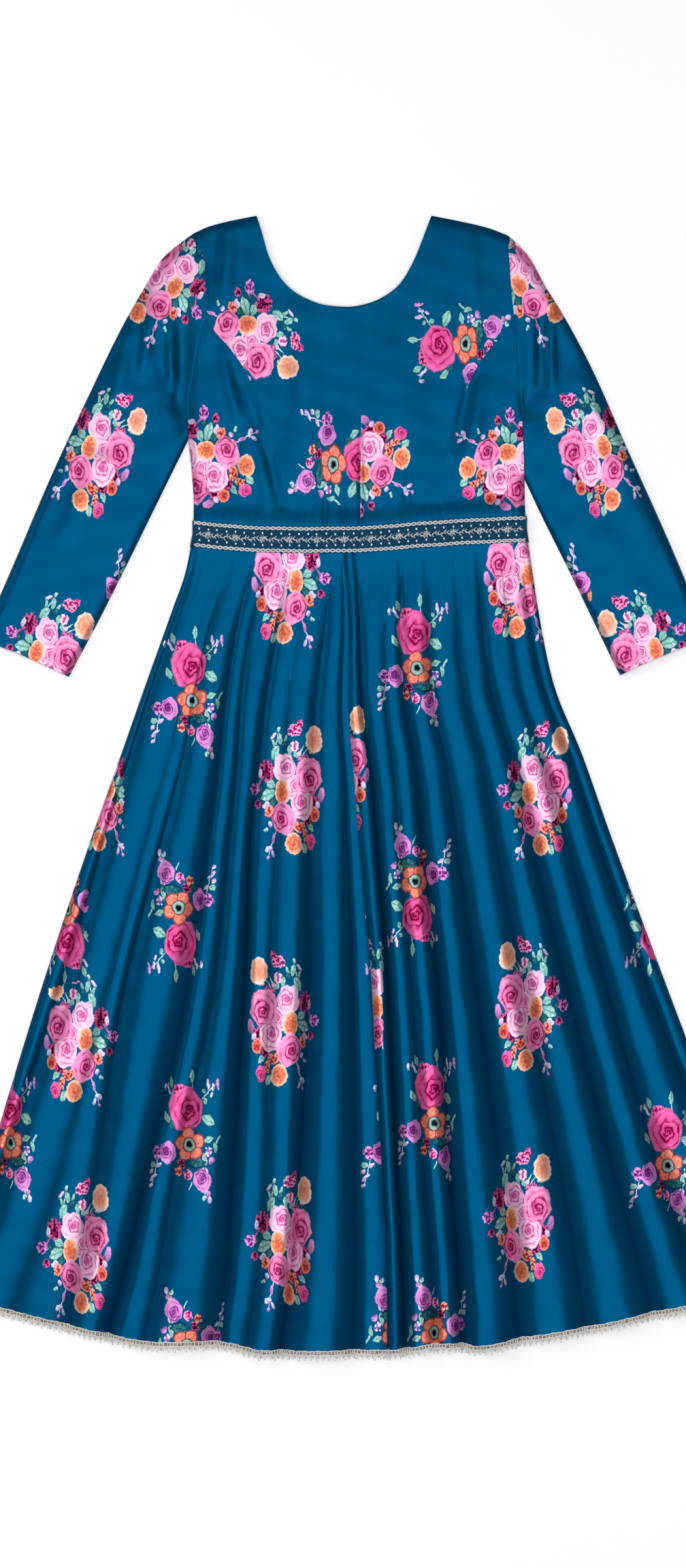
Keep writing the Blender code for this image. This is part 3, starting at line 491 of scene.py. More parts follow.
def smooth(stations, values, at):
    """Cubic through a table's columns that never overshoots between two rows.

    Its tangent at a row is a weighted harmonic mean of the slopes before and after it, or 0 where
    they run opposite ways."""
    stations, values = np.asarray(stations, float), np.asarray(values, float)
    width = np.diff(stations)
    slope = np.diff(values) / width
    same_way = slope[:-1] * slope[1:] > 0
    before, after = np.where(same_way, slope[:-1], 1.0), np.where(same_way, slope[1:], 1.0)
    weight_before, weight_after = 2 * width[1:] + width[:-1], width[1:] + 2 * width[:-1]
    mean = (weight_before + weight_after) / (weight_before / before + weight_after / after)
    tangent = np.concatenate([slope[:1], np.where(same_way, mean, 0.0), slope[-1:]])
    at = np.clip(at, stations[0], stations[-1])
    i = np.clip(np.searchsorted(stations, at, side="right") - 1, 0, len(width) - 1)
    t = (at - stations[i]) / width[i]
    ends = values[i] * (1 + 2 * t) * (1 - t) ** 2 + values[i + 1] * t * t * (3 - 2 * t)
    return ends + width[i] * t * (1 - t) * (tangent[i] * (1 - t) - tangent[i + 1] * t)


def along(points):
    """Length from the start of a run of points to each of them."""
    return np.concatenate([[0.0], np.cumsum(np.linalg.norm(np.diff(points, axis=0), axis=1))])


def curve(rows, count):
    """Evenly spaced points on a smooth curve through the rows of a table in mm."""
    rows = np.array(rows, float) * MM
    chord = along(rows)
    fine = np.linspace(0.0, chord[-1], 30 * len(rows))
    path = np.stack([smooth(chord, rows[:, i], fine) for i in range(2)], axis=1)
    length = along(path)
    at = np.linspace(0.0, length[-1], count + 1)
    return np.stack([np.interp(at, length, path[:, i]) for i in range(2)], axis=1)


def join(*runs):
    """One run of points from several, each of which starts where the last one ends."""
    return np.concatenate([runs[0]] + [run[1:] for run in runs[1:]])


def eased(t):
    """0 to 1 with level ends: 3 times the square less twice the cube."""
    t = np.clip(t, 0.0, 1.0)
    return t * t * (3 - 2 * t)


def waist_y(x):
    """Y of the waist seam, from its table."""
    rows = np.array(WAIST) * MM
    return smooth(rows[:, 0], rows[:, 1], x)


def belt_lift(x, y):
    """How far cloth rises to pass over the back of the belt, eased over BELT_STEP at each edge."""
    past = np.abs(y - waist_y(x)) - BELT_HEIGHT / 2 - BELT_CLEAR
    return BELT_LIFT * eased(1.0 - past / BELT_STEP)


def back_top(x, y):
    """Top of the cloth that lies on the surface."""
    return CLOTH + belt_lift(x, y)


def bodice_top():
    """The run over the left shoulder seam, round the neck and over the right shoulder seam."""
    return join(curve(SHOULDER_SEAM_LEFT, 28), curve(NECK, 104), curve(SHOULDER_SEAM_RIGHT, 28))


def hang(left, right, top):
    """Grid in plan between two sides, from a top edge of any shape down to the waist seam.

    Each row keeps its columns' fractions between the sides. Its Y goes from the top edge to the
    waist at the same X, plus what brings both of its ends onto the sides."""
    across = (top[:, 0] - top[0, 0]) / (top[-1, 0] - top[0, 0])
    down = (along(left) / along(left)[-1] + along(right) / along(right)[-1])[:, None] / 2

    def level(x):
        """Y of each row at an X: between the top edge and the waist at the same X."""
        return (1 - down) * np.interp(x, top[:, 0], top[:, 1]) + down * waist_y(x)

    x = left[:, :1] + across * (right[:, :1] - left[:, :1])
    at_left = left[:, 1:] - level(left[:, :1])
    at_right = right[:, 1:] - level(right[:, :1])
    return np.stack([x, level(x) + (1 - across) * at_left + across * at_right], axis=-1)


def lay(plan, height):
    """Grid of points from their places in plan and their heights."""
    return np.concatenate([plan, height[..., None]], axis=-1)


def turned_edge(points, side, profile):
    """Carries a grid on past one edge: each new line is the edge moved out and down by one step."""
    if side in ("top", "bottom"):
        turned = turned_edge(points.swapaxes(0, 1), {"top": "left", "bottom": "right"}[side], profile)
        return turned.swapaxes(0, 1)
    edge, inner = (points[:, 0], points[:, 1]) if side == "left" else (points[:, -1], points[:, -2])
    out = (edge - inner) * (1.0, 1.0, 0.0)
    out /= np.linalg.norm(out, axis=1, keepdims=True)
    steps = np.array(profile)[:, :, None, None] * MM
    lines = (edge + steps[:, 0] * out - steps[:, 1] * (0.0, 0.0, 1.0)).swapaxes(0, 1)
    return np.concatenate([lines[:, ::-1], points] if side == "left" else [points, lines], axis=1)


def print_map(points, faces, placed, around):
    """Place of each face's corners on the nearest motif, in mm, for the printed satin.

    A row of placed is a motif, X, Y, its turn and, for some, the part of the piece that it takes.
    A place is (across / PRINT_ACROSS, up) from the motif's middle, turned back by the motif's turn.
    Across is measured over the cloth along its row when around is given, and in plan otherwise."""
    flat = points.reshape(-1, 3) / MM
    found = np.full((len(faces), 4, 2), -9.0 * SPRAY_OFFSET)  # out of reach of any motif
    nearest = np.full(len(faces), np.inf)
    middle = flat[faces].mean(axis=1)
    for kind, centre_x, centre_y, turn, *window in placed:
        across = flat[:, 0] - centre_x
        if around is not None:
            start = [np.interp(centre_x * MM, row[:, 0], run) for row, run in zip(points, around)]
            past = centre_x * MM - np.clip(centre_x * MM, points[:, 0, 0], points[:, -1, 0])
            across = (around - (np.array(start) + past)[:, None]).ravel() / MM
        u, v = across / PRINT_ACROSS, flat[:, 1] - centre_y
        cos, sin = np.cos(np.radians(turn)), np.sin(np.radians(turn))
        mirrored = kind.endswith("mirrored")
        place = np.stack([(u * cos + v * sin) * (-1 if mirrored else 1), v * cos - u * sin], axis=1)
        corners = place[faces]
        away = ((corners.mean(axis=1) / MOTIF_REACH) ** 2).sum(axis=1)
        if window:
            x_low, x_high, y_low, y_high = window
            inside = (middle[:, 0] > x_low) & (middle[:, 0] < x_high)
            inside &= (middle[:, 1] > y_low) & (middle[:, 1] < y_high)
            away = np.where(inside, away, np.inf)
        closer = away < nearest
        nearest = np.where(closer, away, nearest)
        shift = (SPRAY_OFFSET if kind.startswith("spray") else 0.0, 0.0)
        found = np.where(closer[:, None, None], corners + shift, found)
    return found


def grid_faces(rows, columns, ring):
    """Quads of a grid, seen from above the first row's left end. A ring's rows close round."""
    index = np.arange(rows * columns).reshape(rows, columns)
    after = np.roll(index, -1, axis=1)
    quads = np.stack([index[:-1], index[1:], after[1:], after[:-1]], axis=-1)
    return quads[:, : columns if ring else columns - 1].reshape(-1, 4)


def sewn_on(name, points, faces, look):
    """A smooth piece of the gown in one material, from an array of points and a list of faces."""
    mesh = bpy.data.meshes.new(name)
    mesh.from_pydata(points.reshape(-1, 3).tolist(), [], faces)
    mesh.shade_smooth()
    mesh.materials.append(look)
    piece = bpy.data.objects.new(name, mesh)
    bpy.context.scene.collection.objects.link(piece)
    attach(piece, "root")
    return piece


def cloth(name, points, placed=(), ring=False, over_folds=False, solid=False):
    """A piece of printed satin from a grid of the points of its face side.

    Faces are turned over if, summed up, their normals point down, or towards the middle of a ring."""
    faces = grid_faces(*points.shape[:2], ring)
    around = None
    if over_folds:
        steps = np.linalg.norm(np.diff(points, axis=1), axis=2)
        around = np.concatenate([np.zeros((len(points), 1)), np.cumsum(steps, axis=1)], axis=1)
    corners = points.reshape(-1, 3)[faces]
    normals = np.cross(corners[:, 2] - corners[:, 0], corners[:, 3] - corners[:, 1])
    outwards = (0.0, 0.0, 1.0)
    if ring:
        outwards = corners.mean(axis=1) - np.repeat(points.mean(axis=1)[:-1], points.shape[1], axis=0)
    if (normals * outwards).sum() < 0:
        faces = faces[:, ::-1]
    piece = sewn_on(name, points, faces.tolist(), PRINTED_SATIN)
    mapped = piece.data.uv_layers.new(name="print")
    mapped.data.foreach_set("uv", print_map(points, faces, placed, around).ravel())
    piece.data.set_sharp_from_angle(angle=SHARP_FOLD)
    if solid:
        thickness = piece.modifiers.new("thickness", "SOLIDIFY")
        thickness.thickness = CLOTH
        thickness.offset = -1.0
    return piece


def area(points, ring=False):
    """Area of a grid's surface, and the lengths of its longest row and of its longest column."""
    corners = points.reshape(-1, 3)[grid_faces(*points.shape[:2], ring)]
    surface = np.linalg.norm(
        np.cross(corners[:, 2] - corners[:, 0], corners[:, 3] - corners[:, 1]), axis=1
    ).sum() / 2
    closed = np.concatenate([points, points[:, :1]], axis=1) if ring else points
    across = np.linalg.norm(np.diff(closed, axis=1), axis=2).sum(axis=1).max()
    down = np.linalg.norm(np.diff(points, axis=0), axis=2).sum(axis=0).max()
    return surface, across, down


def cut(piece, points, ring=False, with_pieces=()):
    """Works out the area of a piece's grid and the lengths of its longest row and column, but keeps none of
    them.
    """
    surface, across, down = area(points, ring)
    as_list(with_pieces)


def bodice_side(upper, lower, side):
    """The run down an edge of the bodice: both parts of the armhole, then the side seam."""
    return join(curve(upper, 26), curve(lower, 30), curve(side, 26))


bodice_back_plan = hang(
    bodice_side(ARMHOLE_UPPER_LEFT, ARMHOLE_LOWER_LEFT, SIDE_LEFT),
    bodice_side(ARMHOLE_UPPER_RIGHT, ARMHOLE_LOWER_RIGHT, SIDE_RIGHT),
    bodice_top()[::3],
)
bodice_back_points = lay(bodice_back_plan, back_top(bodice_back_plan[..., 0], bodice_back_plan[..., 1]))
bodice_back = cloth(
    "bodice_back_cloth",
    bodice_back_points,
    placed=(
        # motif, x, y, turn
        ("bouquet", -96.0, 470.0, 40),
        ("spray", 60.0, 540.0, -30),
        ("spray", -30.0, 370.0, 150),
        ("bouquet mirrored", 120.0, 400.0, -60),
    ),
    solid=True,
)
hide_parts("bodice_back")
cut(bodice_back, bodice_back_points)

# ================================================================ front of the bodice
# Three pieces of the satin: a wide centre with the scoop neck, and a side front at each side.
# They are sewn together along princess seams that curve from the armholes down to the waist.
# The front lies on the back, is sewn to it at the sides and shoulders, and stands up a little.

FRONT_REST = 2 * CLOTH + SEAM_GAP  # top of the front cloth where it lies on the back cloth
PUFF_REACH = 14 * MM  # from the side edge, where the front rises like a quarter ellipse
PUFF_BODICE = 3.5 * MM
PUFF_WAIST = 3.0 * MM
PUFF_SKIRT = 1.6 * MM
PUFF_EASE = 70 * MM  # length over which the puff changes above and below the waist
BODICE_AXIS = -2.5 * MM
GOLDEN_ANGLE = 2.39996  # radians between one sine of the swells and the next
PRINCESS_LEFT = (
    PRINCESS_TOP_LEFT, (-187.0, 570.5), (-163.2, 543.0), (-144.5, 515.0), (-130.1, 480.5), (-119.0, 449.5),
    (-113.0, 431.0), (-107.1, 386.0), (-102.9, 307.0),
)
SLEEVE_OUTER_LEFT = (
    SHOULDER_LEFT, (-228.5, 675.0), (-248.0, 658.0), (-269.5, 624.0), (-298.5, 573.0), (-340.0, 488.0),
    (-387.5, 386.0), (-431.0, 284.0), (-475.0, 182.5),
)
SLEEVE_INNER_LEFT = (ARMPIT_LEFT, (-239.7, 386.0), (-289.9, 284.0), (-324.0, 216.0), (-366.4, 136.0))
SLEEVE_OUTER_RIGHT = (
    SHOULDER_RIGHT, (193.8, 675.0), (209.0, 658.0), (227.8, 624.0), (249.0, 590.0), (285.6, 522.0),
    (330.7, 420.0), (376.6, 318.0), (432.7, 185.5),
)
SLEEVE_INNER_RIGHT = (ARMPIT_RIGHT, (225.3, 335.0), (259.3, 267.0), (292.4, 199.0), (322.2, 137.7))
SKIRT_SIDES = (
    # fraction of the way down, left edge X, right edge X
    (0.00, -210.0, 204.0),
    (0.05, -219.6, 211.4),
    (0.10, -236.0, 218.4),
    (0.20, -269.6, 237.5),
    (0.30, -302.6, 275.0),
    (0.40, -336.0, 308.5),
    (0.60, -398.6, 378.5),
    (0.80, -456.0, 449.5),
    (0.90, -483.3, 483.5),
    (1.00, -516.8, 516.8),
)
HEM = (
    (-516.8, -625.6), (-452.0, -649.5), (-384.0, -667.0), (-315.0, -683.0), (-256.0, -692.5),
    (-193.0, -692.0), (-170.0, -693.0), (-124.0, -703.0), (-67.0, -703.5), (-10.0, -703.0),
    (31.0, -703.0), (65.0, -699.0), (88.0, -695.0), (122.0, -694.5), (141.0, -697.0),
    (162.0, -695.0), (195.0, -688.5), (290.0, -672.0), (383.0, -651.5), (450.0, -639.0),
    (516.8, -625.6),
)
# Creases: start X, Y, end X, Y, half width, rise, all in mm. A positive rise is a broad swell. A
# negative one is a hollow: a drag line at an armhole, a trough down from the shoulder or bust, the
# crease down the middle of the front, or a short gather above the waist.
CREASES = (
    (-262.0, 592.0, -276.0, 512.0, 8.0, 2.4),
    (-290.0, 560.0, -312.0, 470.0, 11.0, 2.2),
    (-238.0, 566.0, -238.0, 486.0, 7.0, 2.6),
    (-330.0, 400.0, -378.0, 300.0, 14.0, 2.0),
    (213.0, 590.0, 214.0, 500.0, 6.0, 2.2),
    (235.0, 580.0, 236.0, 500.0, 6.0, 2.2),
    (275.0, 500.0, 300.0, 440.0, 9.0, 2.0),
    (318.0, 390.0, 356.0, 300.0, 14.0, 2.0),
    (-174.0, 536.0, -150.0, 446.0, 9.0, 2.2),
    (-128.0, 440.0, -118.0, 350.0, 9.0, 1.6),
    (150.0, 500.0, 132.0, 400.0, 10.0, 2.0),
    (-76.0, 530.0, -70.0, 440.0, 13.0, 1.4),
    (-168.0, 696.0, -172.0, 600.0, 9.0, 1.6),
    (40.0, 560.0, 52.0, 440.0, 20.0, 1.4),
    (134.0, 690.0, 140.0, 590.0, 10.0, 1.5),
    (-224.0, 590.0, -224.0, 452.0, 14.0, -4.3),
    (-252.0, 560.0, -246.0, 498.0, 12.0, -1.6),
    (-250.0, 520.0, -222.0, 458.0, 9.0, -1.7),
    (-282.0, 560.0, -280.0, 500.0, 12.0, -0.9),
    (204.0, 492.0, 205.0, 462.0, 7.0, -2.4),
    (221.0, 586.0, 219.0, 470.0, 13.0, -3.4),
    (250.0, 560.0, 252.0, 480.0, 11.0, -1.5),
    (276.0, 548.0, 280.0, 486.0, 11.0, -0.9),
    (-184.0, 694.0, -188.0, 620.0, 11.0, -2.2),
    (-148.0, 702.0, -152.0, 600.0, 11.0, -1.4),
    (-162.0, 528.0, -146.0, 452.0, 9.0, -1.6),
    (-146.0, 500.0, -101.0, 352.0, 7.5, -2.1),
    (137.0, 520.0, 118.0, 420.0, 8.0, -2.2),
    (-98.0, 560.0, -101.0, 440.0, 14.0, -1.7),
    (-36.0, 566.0, -40.0, 440.0, 15.0, -1.6),
    (88.0, 560.0, 92.0, 440.0, 14.0, -1.6),
    (-1.7, 461.0, -1.7, 322.0, 3.5, -1.4),
    (-152.0, 452.0, -160.0, 372.0, 5.0, -1.2),
    (-45.0, 366.0, -47.0, 326.0, 4.0, -1.2),
    (-25.0, 360.0, -23.0, 326.0, 4.0, -1.2),
    (60.0, 404.0, 54.0, 332.0, 5.0, -1.1),
    (162.0, 440.0, 168.0, 360.0, 5.0, -1.2),
)


def hem_y(x):
    """Y of the hem, from its table."""
    rows = np.array(HEM) * MM
    return smooth(rows[:, 0], rows[:, 1], x)


def skirt_plan(across, down):
    """Plan position of a place on the skirt, from its fractions across and down."""
    sides = np.array(SKIRT_SIDES) * (1.0, MM, MM)
    left = smooth(sides[:, 0], sides[:, 1], down)
    right = smooth(sides[:, 0], sides[:, 2], down)
    top = waist_y(sides[0, 1] + across * (sides[0, 2] - sides[0, 1]))
    end = hem_y(sides[-1, 1] + across * (sides[-1, 2] - sides[-1, 1]))
    return np.stack([left + across * (right - left), top + down * (end - top)], axis=-1)


def side_edges():
    """Every edge where the front meets the back, as runs of points."""
    tables = (
        SHOULDER_SEAM_LEFT, SHOULDER_SEAM_RIGHT, SLEEVE_OUTER_LEFT, SLEEVE_OUTER_RIGHT,
        SLEEVE_INNER_LEFT, SLEEVE_INNER_RIGHT, SIDE_LEFT, SIDE_RIGHT,
    )
    steps = np.linspace(0.0, 1.0, 14)
    return [curve(rows, 13) for rows in tables] + [skirt_plan(side, steps) for side in (0.0, 1.0)]


def to_segment(x, y, start, end):
    """Distance in plan to a straight segment, and the fraction along it of its nearest place."""
    dx, dy = end[0] - start[0], end[1] - start[1]
    place = np.clip(((x - start[0]) * dx + (y - start[1]) * dy) / (dx * dx + dy * dy), 0.0, 1.0)
    return np.hypot(x - start[0] - place * dx, y - start[1] - place * dy), place


def puff_shape(x, y):
    """0 at a side edge, and 1 from PUFF_REACH inwards: it rises like a quarter ellipse."""
    nearest = np.full(np.shape(x), PUFF_REACH)
    for run in side_edges():
        for start, end in zip(run[:-1], run[1:]):
            nearest = np.minimum(nearest, to_segment(x, y, start, end)[0])
    return np.sqrt(1.0 - (1.0 - nearest / PUFF_REACH) ** 2)


def crease_rise(x, y):
    """Sum of the creases, which fade at both ends and sideways from the segment that each lies on.

    A crease is its rise, times a sine of the place along it, times exp(-(distance / half width)^2)."""
    total = np.zeros(np.shape(x))
    for row in np.array(CREASES) * MM:
        away, place = to_segment(x, y, row[0:2], row[2:4])
        half_width, rise = row[4:6]
        total += rise * np.sin(np.pi * (0.15 + 0.7 * place)) * np.exp(-((away / half_width) ** 2))
    return total


def swells(x, y, seed):
    """Faint unevenness of cloth laid by hand, from -1 to 1: sines that cross at odd angles."""
    turn = np.arange(7) * GOLDEN_ANGLE + seed
    reach = (46.0, 61.0, 83.0, 37.0, 118.0, 71.0, 150.0)
    waves = [
        np.sin((x * np.cos(t) + y * np.sin(t)) / (r * MM) * 2 * np.pi + 5.1 * t)
        for t, r in zip(turn, reach)
    ]
    return sum(waves) / 4.0


def front_top(x, y):
    """Top of the front cloth of the bodice, and of the skirt before its folds.

    It is the back cloth's top, a gap, the cloth itself and a puff that changes above and below the
    waist."""
    up = (y - waist_y(x)) / PUFF_EASE
    puff = PUFF_WAIST + (PUFF_BODICE - PUFF_WAIST) * eased(up) + (PUFF_SKIRT - PUFF_WAIST) * eased(-up)
    return back_top(x, y) + SEAM_GAP + CLOTH + puff * puff_shape(x, y)


def seam_pucker(points, side, seed):
    """Small waves of the cloth along a sewn edge of a grid, that fade inwards within a few mm."""
    edge = points[:, 0] if side == "left" else points[:, -1]
    away = np.linalg.norm(points[..., :2] - edge[:, None, :2], axis=2)
    run = along(edge)[:, None]
    wave = np.sin(run / (4.6 * MM) * 2 * np.pi + 2.0 * np.sin(run / (31 * MM) + seed))
    points[..., 2] += (0.16 * wave - 0.10) * MM * np.exp(-away / (4.5 * MM))
    return points


def bodice_front(plan, seams, seed):
    """Points of a front piece of the bodice, puckered along its seams and turned down all round."""
    x, y = plan[..., 0], plan[..., 1]
    above_belt = eased((y - waist_y(x) - 16 * MM) / (30 * MM))
    gathers = np.sin(x / (9.5 * MM) * 2 * np.pi + 2.2 * np.sin(x / (37 * MM))) * (1 - above_belt)
    faint = puff_shape(x, y) * (0.45 * swells(x, y, seed) * above_belt + 0.22 * gathers) * MM
    points = lay(plan, front_top(x, y) + crease_rise(x, y) + faint)
    for side in seams:
        points = seam_pucker(points, side, seed)
    for side in ("left", "right"):
        points = turned_edge(points, side, SEWN if side in seams else FOLDED)
    return turned_edge(points, "bottom", SEWN)


def princess_right():
    """The right princess seam: the left one mirrored, between its own armhole and the waist."""
    end = 2 * BODICE_AXIS / MM - PRINCESS_LEFT[-1][0]
    middle = tuple((2 * BODICE_AXIS / MM - x, y) for x, y in PRINCESS_LEFT[1:-1])
    return (PRINCESS_TOP_RIGHT,) + middle + ((end, float(waist_y(end * MM)) / MM),)


centre_plan = hang(
    join(curve(ARMHOLE_UPPER_LEFT, 40), curve(PRINCESS_LEFT, 120)),
    join(curve(ARMHOLE_UPPER_RIGHT, 40), curve(princess_right(), 120)),
    bodice_top(),
)
centre_points = turned_edge(bodice_front(centre_plan, ("left", "right"), 0.3), "top", FOLDED)
bodice_centre = cloth(
    "bodice_centre_cloth",
    centre_points,
    placed=(
        # motif, x, y, turn, then the part of the piece that it takes: x from, to, y from, to
        ("bouquet", -142.6, 560.0, -90),
        ("spray", -19.0, 403.0, -90, -220.0, -1.7, 300.0, 500.0),
        ("bouquet", -1.0, 404.0, 90, -1.7, 220.0, 300.0, 500.0),
        ("spray", 112.0, 548.0, 90),
    ),
)
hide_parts("bodice_front_centre")
cut(bodice_centre, centre_points)


def side_front_plan(armhole, side, princess, outer_edge):
    """A side front: the armhole and the side seam make one edge, the princess seam the other."""
    outer = join(curve(armhole, 60), curve(side, 40))
    inner = curve(princess, 100)
    for run in (outer, inner):  # both start at one point, which would make a needle of the corner
        run[0] += 0.3 * (run[1] - run[0])
    left, right = (outer, inner) if outer_edge == "left" else (inner, outer)
    return hang(left, right, np.linspace(left[0], right[0], 61))


SIDE_FRONTS = (
    # side, lower armhole, side seam, princess seam, seed, motifs
    (
        "left", ARMHOLE_LOWER_LEFT, SIDE_LEFT, PRINCESS_LEFT, 1.9,
        (("bouquet mirrored", -195.0, 403.0, 90),),
    ),
    (
        "right", ARMHOLE_LOWER_RIGHT, SIDE_RIGHT, princess_right(), 3.7,
        (("bouquet", 182.0, 400.0, -90),),
    ),
)
for outer_edge, armhole, side, princess, seed, motifs in SIDE_FRONTS:
    seam = "right" if outer_edge == "left" else "left"
    plan = side_front_plan(armhole, side, princess, outer_edge)
    points = bodice_front(plan, (seam,), seed)
    piece = cloth("bodice_side_cloth_" + outer_edge, points, placed=motifs)
    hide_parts("bodice_front_side_" + outer_edge)
    cut(piece, points)

# ================================================================ sleeves
# Long, straight sleeves, each one piece of the satin folded round and sewn along its inner edge.
# Each is set into its armhole and lies flattened beside the bodice, a little open at the cuff.

CUFF_LEFT = ((-475.0, 182.5), (-452.0, 173.5), (-430.0, 165.0), (-392.0, 148.0), (-366.4, 136.0))
CUFF_RIGHT = ((432.7, 185.5), (404.6, 174.3), (382.5, 165.0), (342.6, 148.0), (322.2, 137.7))
PUFF_CUFF = 7.0 * MM
SLEEVE_ROWS = 170
# Round a folded edge, from the face down to the underside: how far out, and height
SLEEVE_FOLD = ((0.36, 2.34), (0.60, 1.75), (0.60, 0.95), (0.36, 0.36))
FOLD_MIDDLE = FRONT_REST / 2  # height halfway up a folded edge
FOLD_REACH = 1.34 * MM  # above and below that, where a cuff's edge still turns sideways
# Round the rim of a cuff and back up inside it: how far past the last row, and how far inwards
CUFF_TURN = ((0.30, 0.15), (0.42, 0.55), (0.30, 0.95), (-14.0, 1.05))
SEAM_DIP = 0.7 * MM  # how far the face sinks into the seam of the armhole
SEAM_IN = 0.15 * MM  # how far the first row stands back from that seam


def patch(left, right, top, bottom, across):
    """Grid in plan between four edges: left and right run downwards, top and bottom run across.

    It is the blend of both sides, plus the blend of both ends, less the blend of the corners."""
    down = (along(left) / along(left)[-1] + along(right) / along(right)[-1])[:, None, None] / 2
    across = across[None, :, None]
    sides = (1 - across) * left[:, None] + across * right[:, None]
    ends = (1 - down) * top[None] + down * bottom[None]
    upper = (1 - across) * top[0] + across * top[-1]
    lower = (1 - across) * bottom[0] + across * bottom[-1]
    return sides + ends - (1 - down) * upper - down * lower


def sleeve_ring(outer, inner, upper, lower, cuff, seed):
    """Rows round a flattened tube: the face from the outer edge to the inner one, then the back."""
    armhole = join(curve(upper, 40), curve(lower, 52))
    across = along(armhole) / along(armhole)[-1]
    cuff_run = curve(cuff, 92)
    plan = patch(curve(outer, SLEEVE_ROWS), curve(inner, SLEEVE_ROWS), armhole, cuff_run, across)
    x, y = plan[..., 0], plan[..., 1]
    down = np.linspace(0.0, 1.0, SLEEVE_ROWS + 1)[:, None]
    puff = PUFF_BODICE + (PUFF_CUFF - PUFF_BODICE) * eased(down)
    faint = 0.55 * swells(x, y, seed) * eased(down * 9) * MM
    height = FRONT_REST + puff_shape(x, y) * (puff + faint) + crease_rise(x, y)
    height -= SEAM_DIP * np.exp(-down / 0.009)
    inwards = plan[1] - plan[0]
    plan[0] += SEAM_IN * inwards / np.linalg.norm(inwards, axis=1, keepdims=True)
    face = lay(plan, height)
    under = plan[:, 1:-1][:, ::-4]
    back = lay(under, np.zeros(under.shape[:2]))

    def fold(edge, inside):
        """Lines round one folded edge of the tube, each out from it and at a height of its own."""
        out = (face[:, edge] - face[:, inside]) * (1.0, 1.0, 0.0)
        out /= np.linalg.norm(out, axis=1, keepdims=True)
        lines = [
            face[:, edge] * (1.0, 1.0, 0.0) + past * MM * out + (0.0, 0.0, level * MM)
            for past, level in SLEEVE_FOLD
        ]
        return np.stack(lines, axis=1)

    return np.concatenate([face, fold(-1, -2), back, fold(0, 1)[:, ::-1]], axis=1)


def turned_cuff(ring):
    """Carries the rows of a sleeve round its cuff and back up inside it.

    Inwards is down on the face, up on the underside, and sideways at the two folded edges."""
    end, before = ring[-1], ring[-2]
    down = (end - before) * (1.0, 1.0, 0.0)
    down /= np.maximum(np.linalg.norm(down, axis=1, keepdims=True), 1e-9)
    middle = (end.max(axis=0) + end.min(axis=0)) / 2
    upright = np.where(end[:, 2:] > FOLD_MIDDLE, -1.0, 1.0) * (0.0, 0.0, 1.0)
    sideways = (middle - end) * (1.0, 1.0, 0.0)
    sideways /= np.linalg.norm(sideways, axis=1, keepdims=True)
    at_fold = np.clip(1.0 - np.abs(end[:, 2:] - FOLD_MIDDLE) / FOLD_REACH, 0.0, 1.0)
    inwards = upright * (1.0 - at_fold) + 1.6 * sideways * at_fold
    lines = [end + past * MM * down + depth * MM * inwards for past, depth in CUFF_TURN]
    return np.concatenate([ring, np.stack(lines)])


SLEEVES = (
    # side, outer edge, inner edge, armhole in two parts, cuff, seed, motifs
    (
        "left", SLEEVE_OUTER_LEFT, SLEEVE_INNER_LEFT, ARMHOLE_UPPER_LEFT, ARMHOLE_LOWER_LEFT,
        CUFF_LEFT, 0.9,
        (
            ("bouquet mirrored", -241.5, 632.0, -46),
            ("bouquet", -330.0, 415.0, -28),
            ("bouquet", -395.6, 159.6, -28),
            ("spray", -332.0, 205.0, 197, -319.0, -262.0, 226.0, 330.0),
        ),
    ),
    (
        "right", SLEEVE_OUTER_RIGHT, SLEEVE_INNER_RIGHT, ARMHOLE_UPPER_RIGHT, ARMHOLE_LOWER_RIGHT,
        CUFF_RIGHT, 4.4,
        (
            ("bouquet", 204.0, 634.0, 44),
            ("bouquet mirrored", 290.9, 415.8, 28),
            ("bouquet mirrored", 355.3, 163.0, 28),
            ("spray mirrored", 292.0, 212.0, -197, 230.0, 286.0, 230.0, 330.0),
        ),
    ),
)
for side, outer, inner, upper, lower, cuff, seed, motifs in SLEEVES:
    ring = sleeve_ring(outer, inner, upper, lower, cuff, seed)
    piece = cloth("sleeve_cloth_" + side, turned_cuff(ring), placed=motifs, ring=True)
    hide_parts("sleeve_" + side)
    cut(piece, ring, ring=True)

# ================================================================ back of the skirt
# One wide flared piece of the satin, cut with the same sides and hem as the front has as it lies.
# It is sewn to the bodice at the waist, steps over the belt, and lies spread out flat below it.

BACK_MOTIFS = ("bouquet", "spray", "bouquet mirrored", "spray mirrored")
skirt_back_plan = skirt_plan(np.linspace(0.0, 1.0, 81), np.linspace(0.0, 1.0, 91)[:, None])
skirt_back_points = lay(skirt_back_plan, back_top(skirt_back_plan[..., 0], skirt_back_plan[..., 1]))
skirt_back = cloth(
    "skirt_back_cloth",
    skirt_back_points,
    placed=[
        (BACK_MOTIFS[(i + 3 * j) % len(BACK_MOTIFS)], x, y, 180 * (i % 2))
        for j, y in enumerate((170.0, -20.0, -210.0, -400.0, -590.0))
        for i, x in enumerate(np.arange(-420.0 + 60.0 * (j % 2), 460.0, 128.0))
    ],
    solid=True,
)
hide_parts("skirt_back")
cut(skirt_back, skirt_back_points)

# ================================================================ front of the skirt
# Two flared panels of the satin, joined by a seam down the middle and sewn in at the waist.
# The cloth is wider than it lies, so it falls into long soft folds that run to the hem.

FOLD_PLACES = (0.12, 0.30, 0.55, 0.80, 1.00)
FOLD_HEIGHTS = (0.02, 0.12, 0.30, 0.55, 1.00)  # height is 0 at the first, under the belt
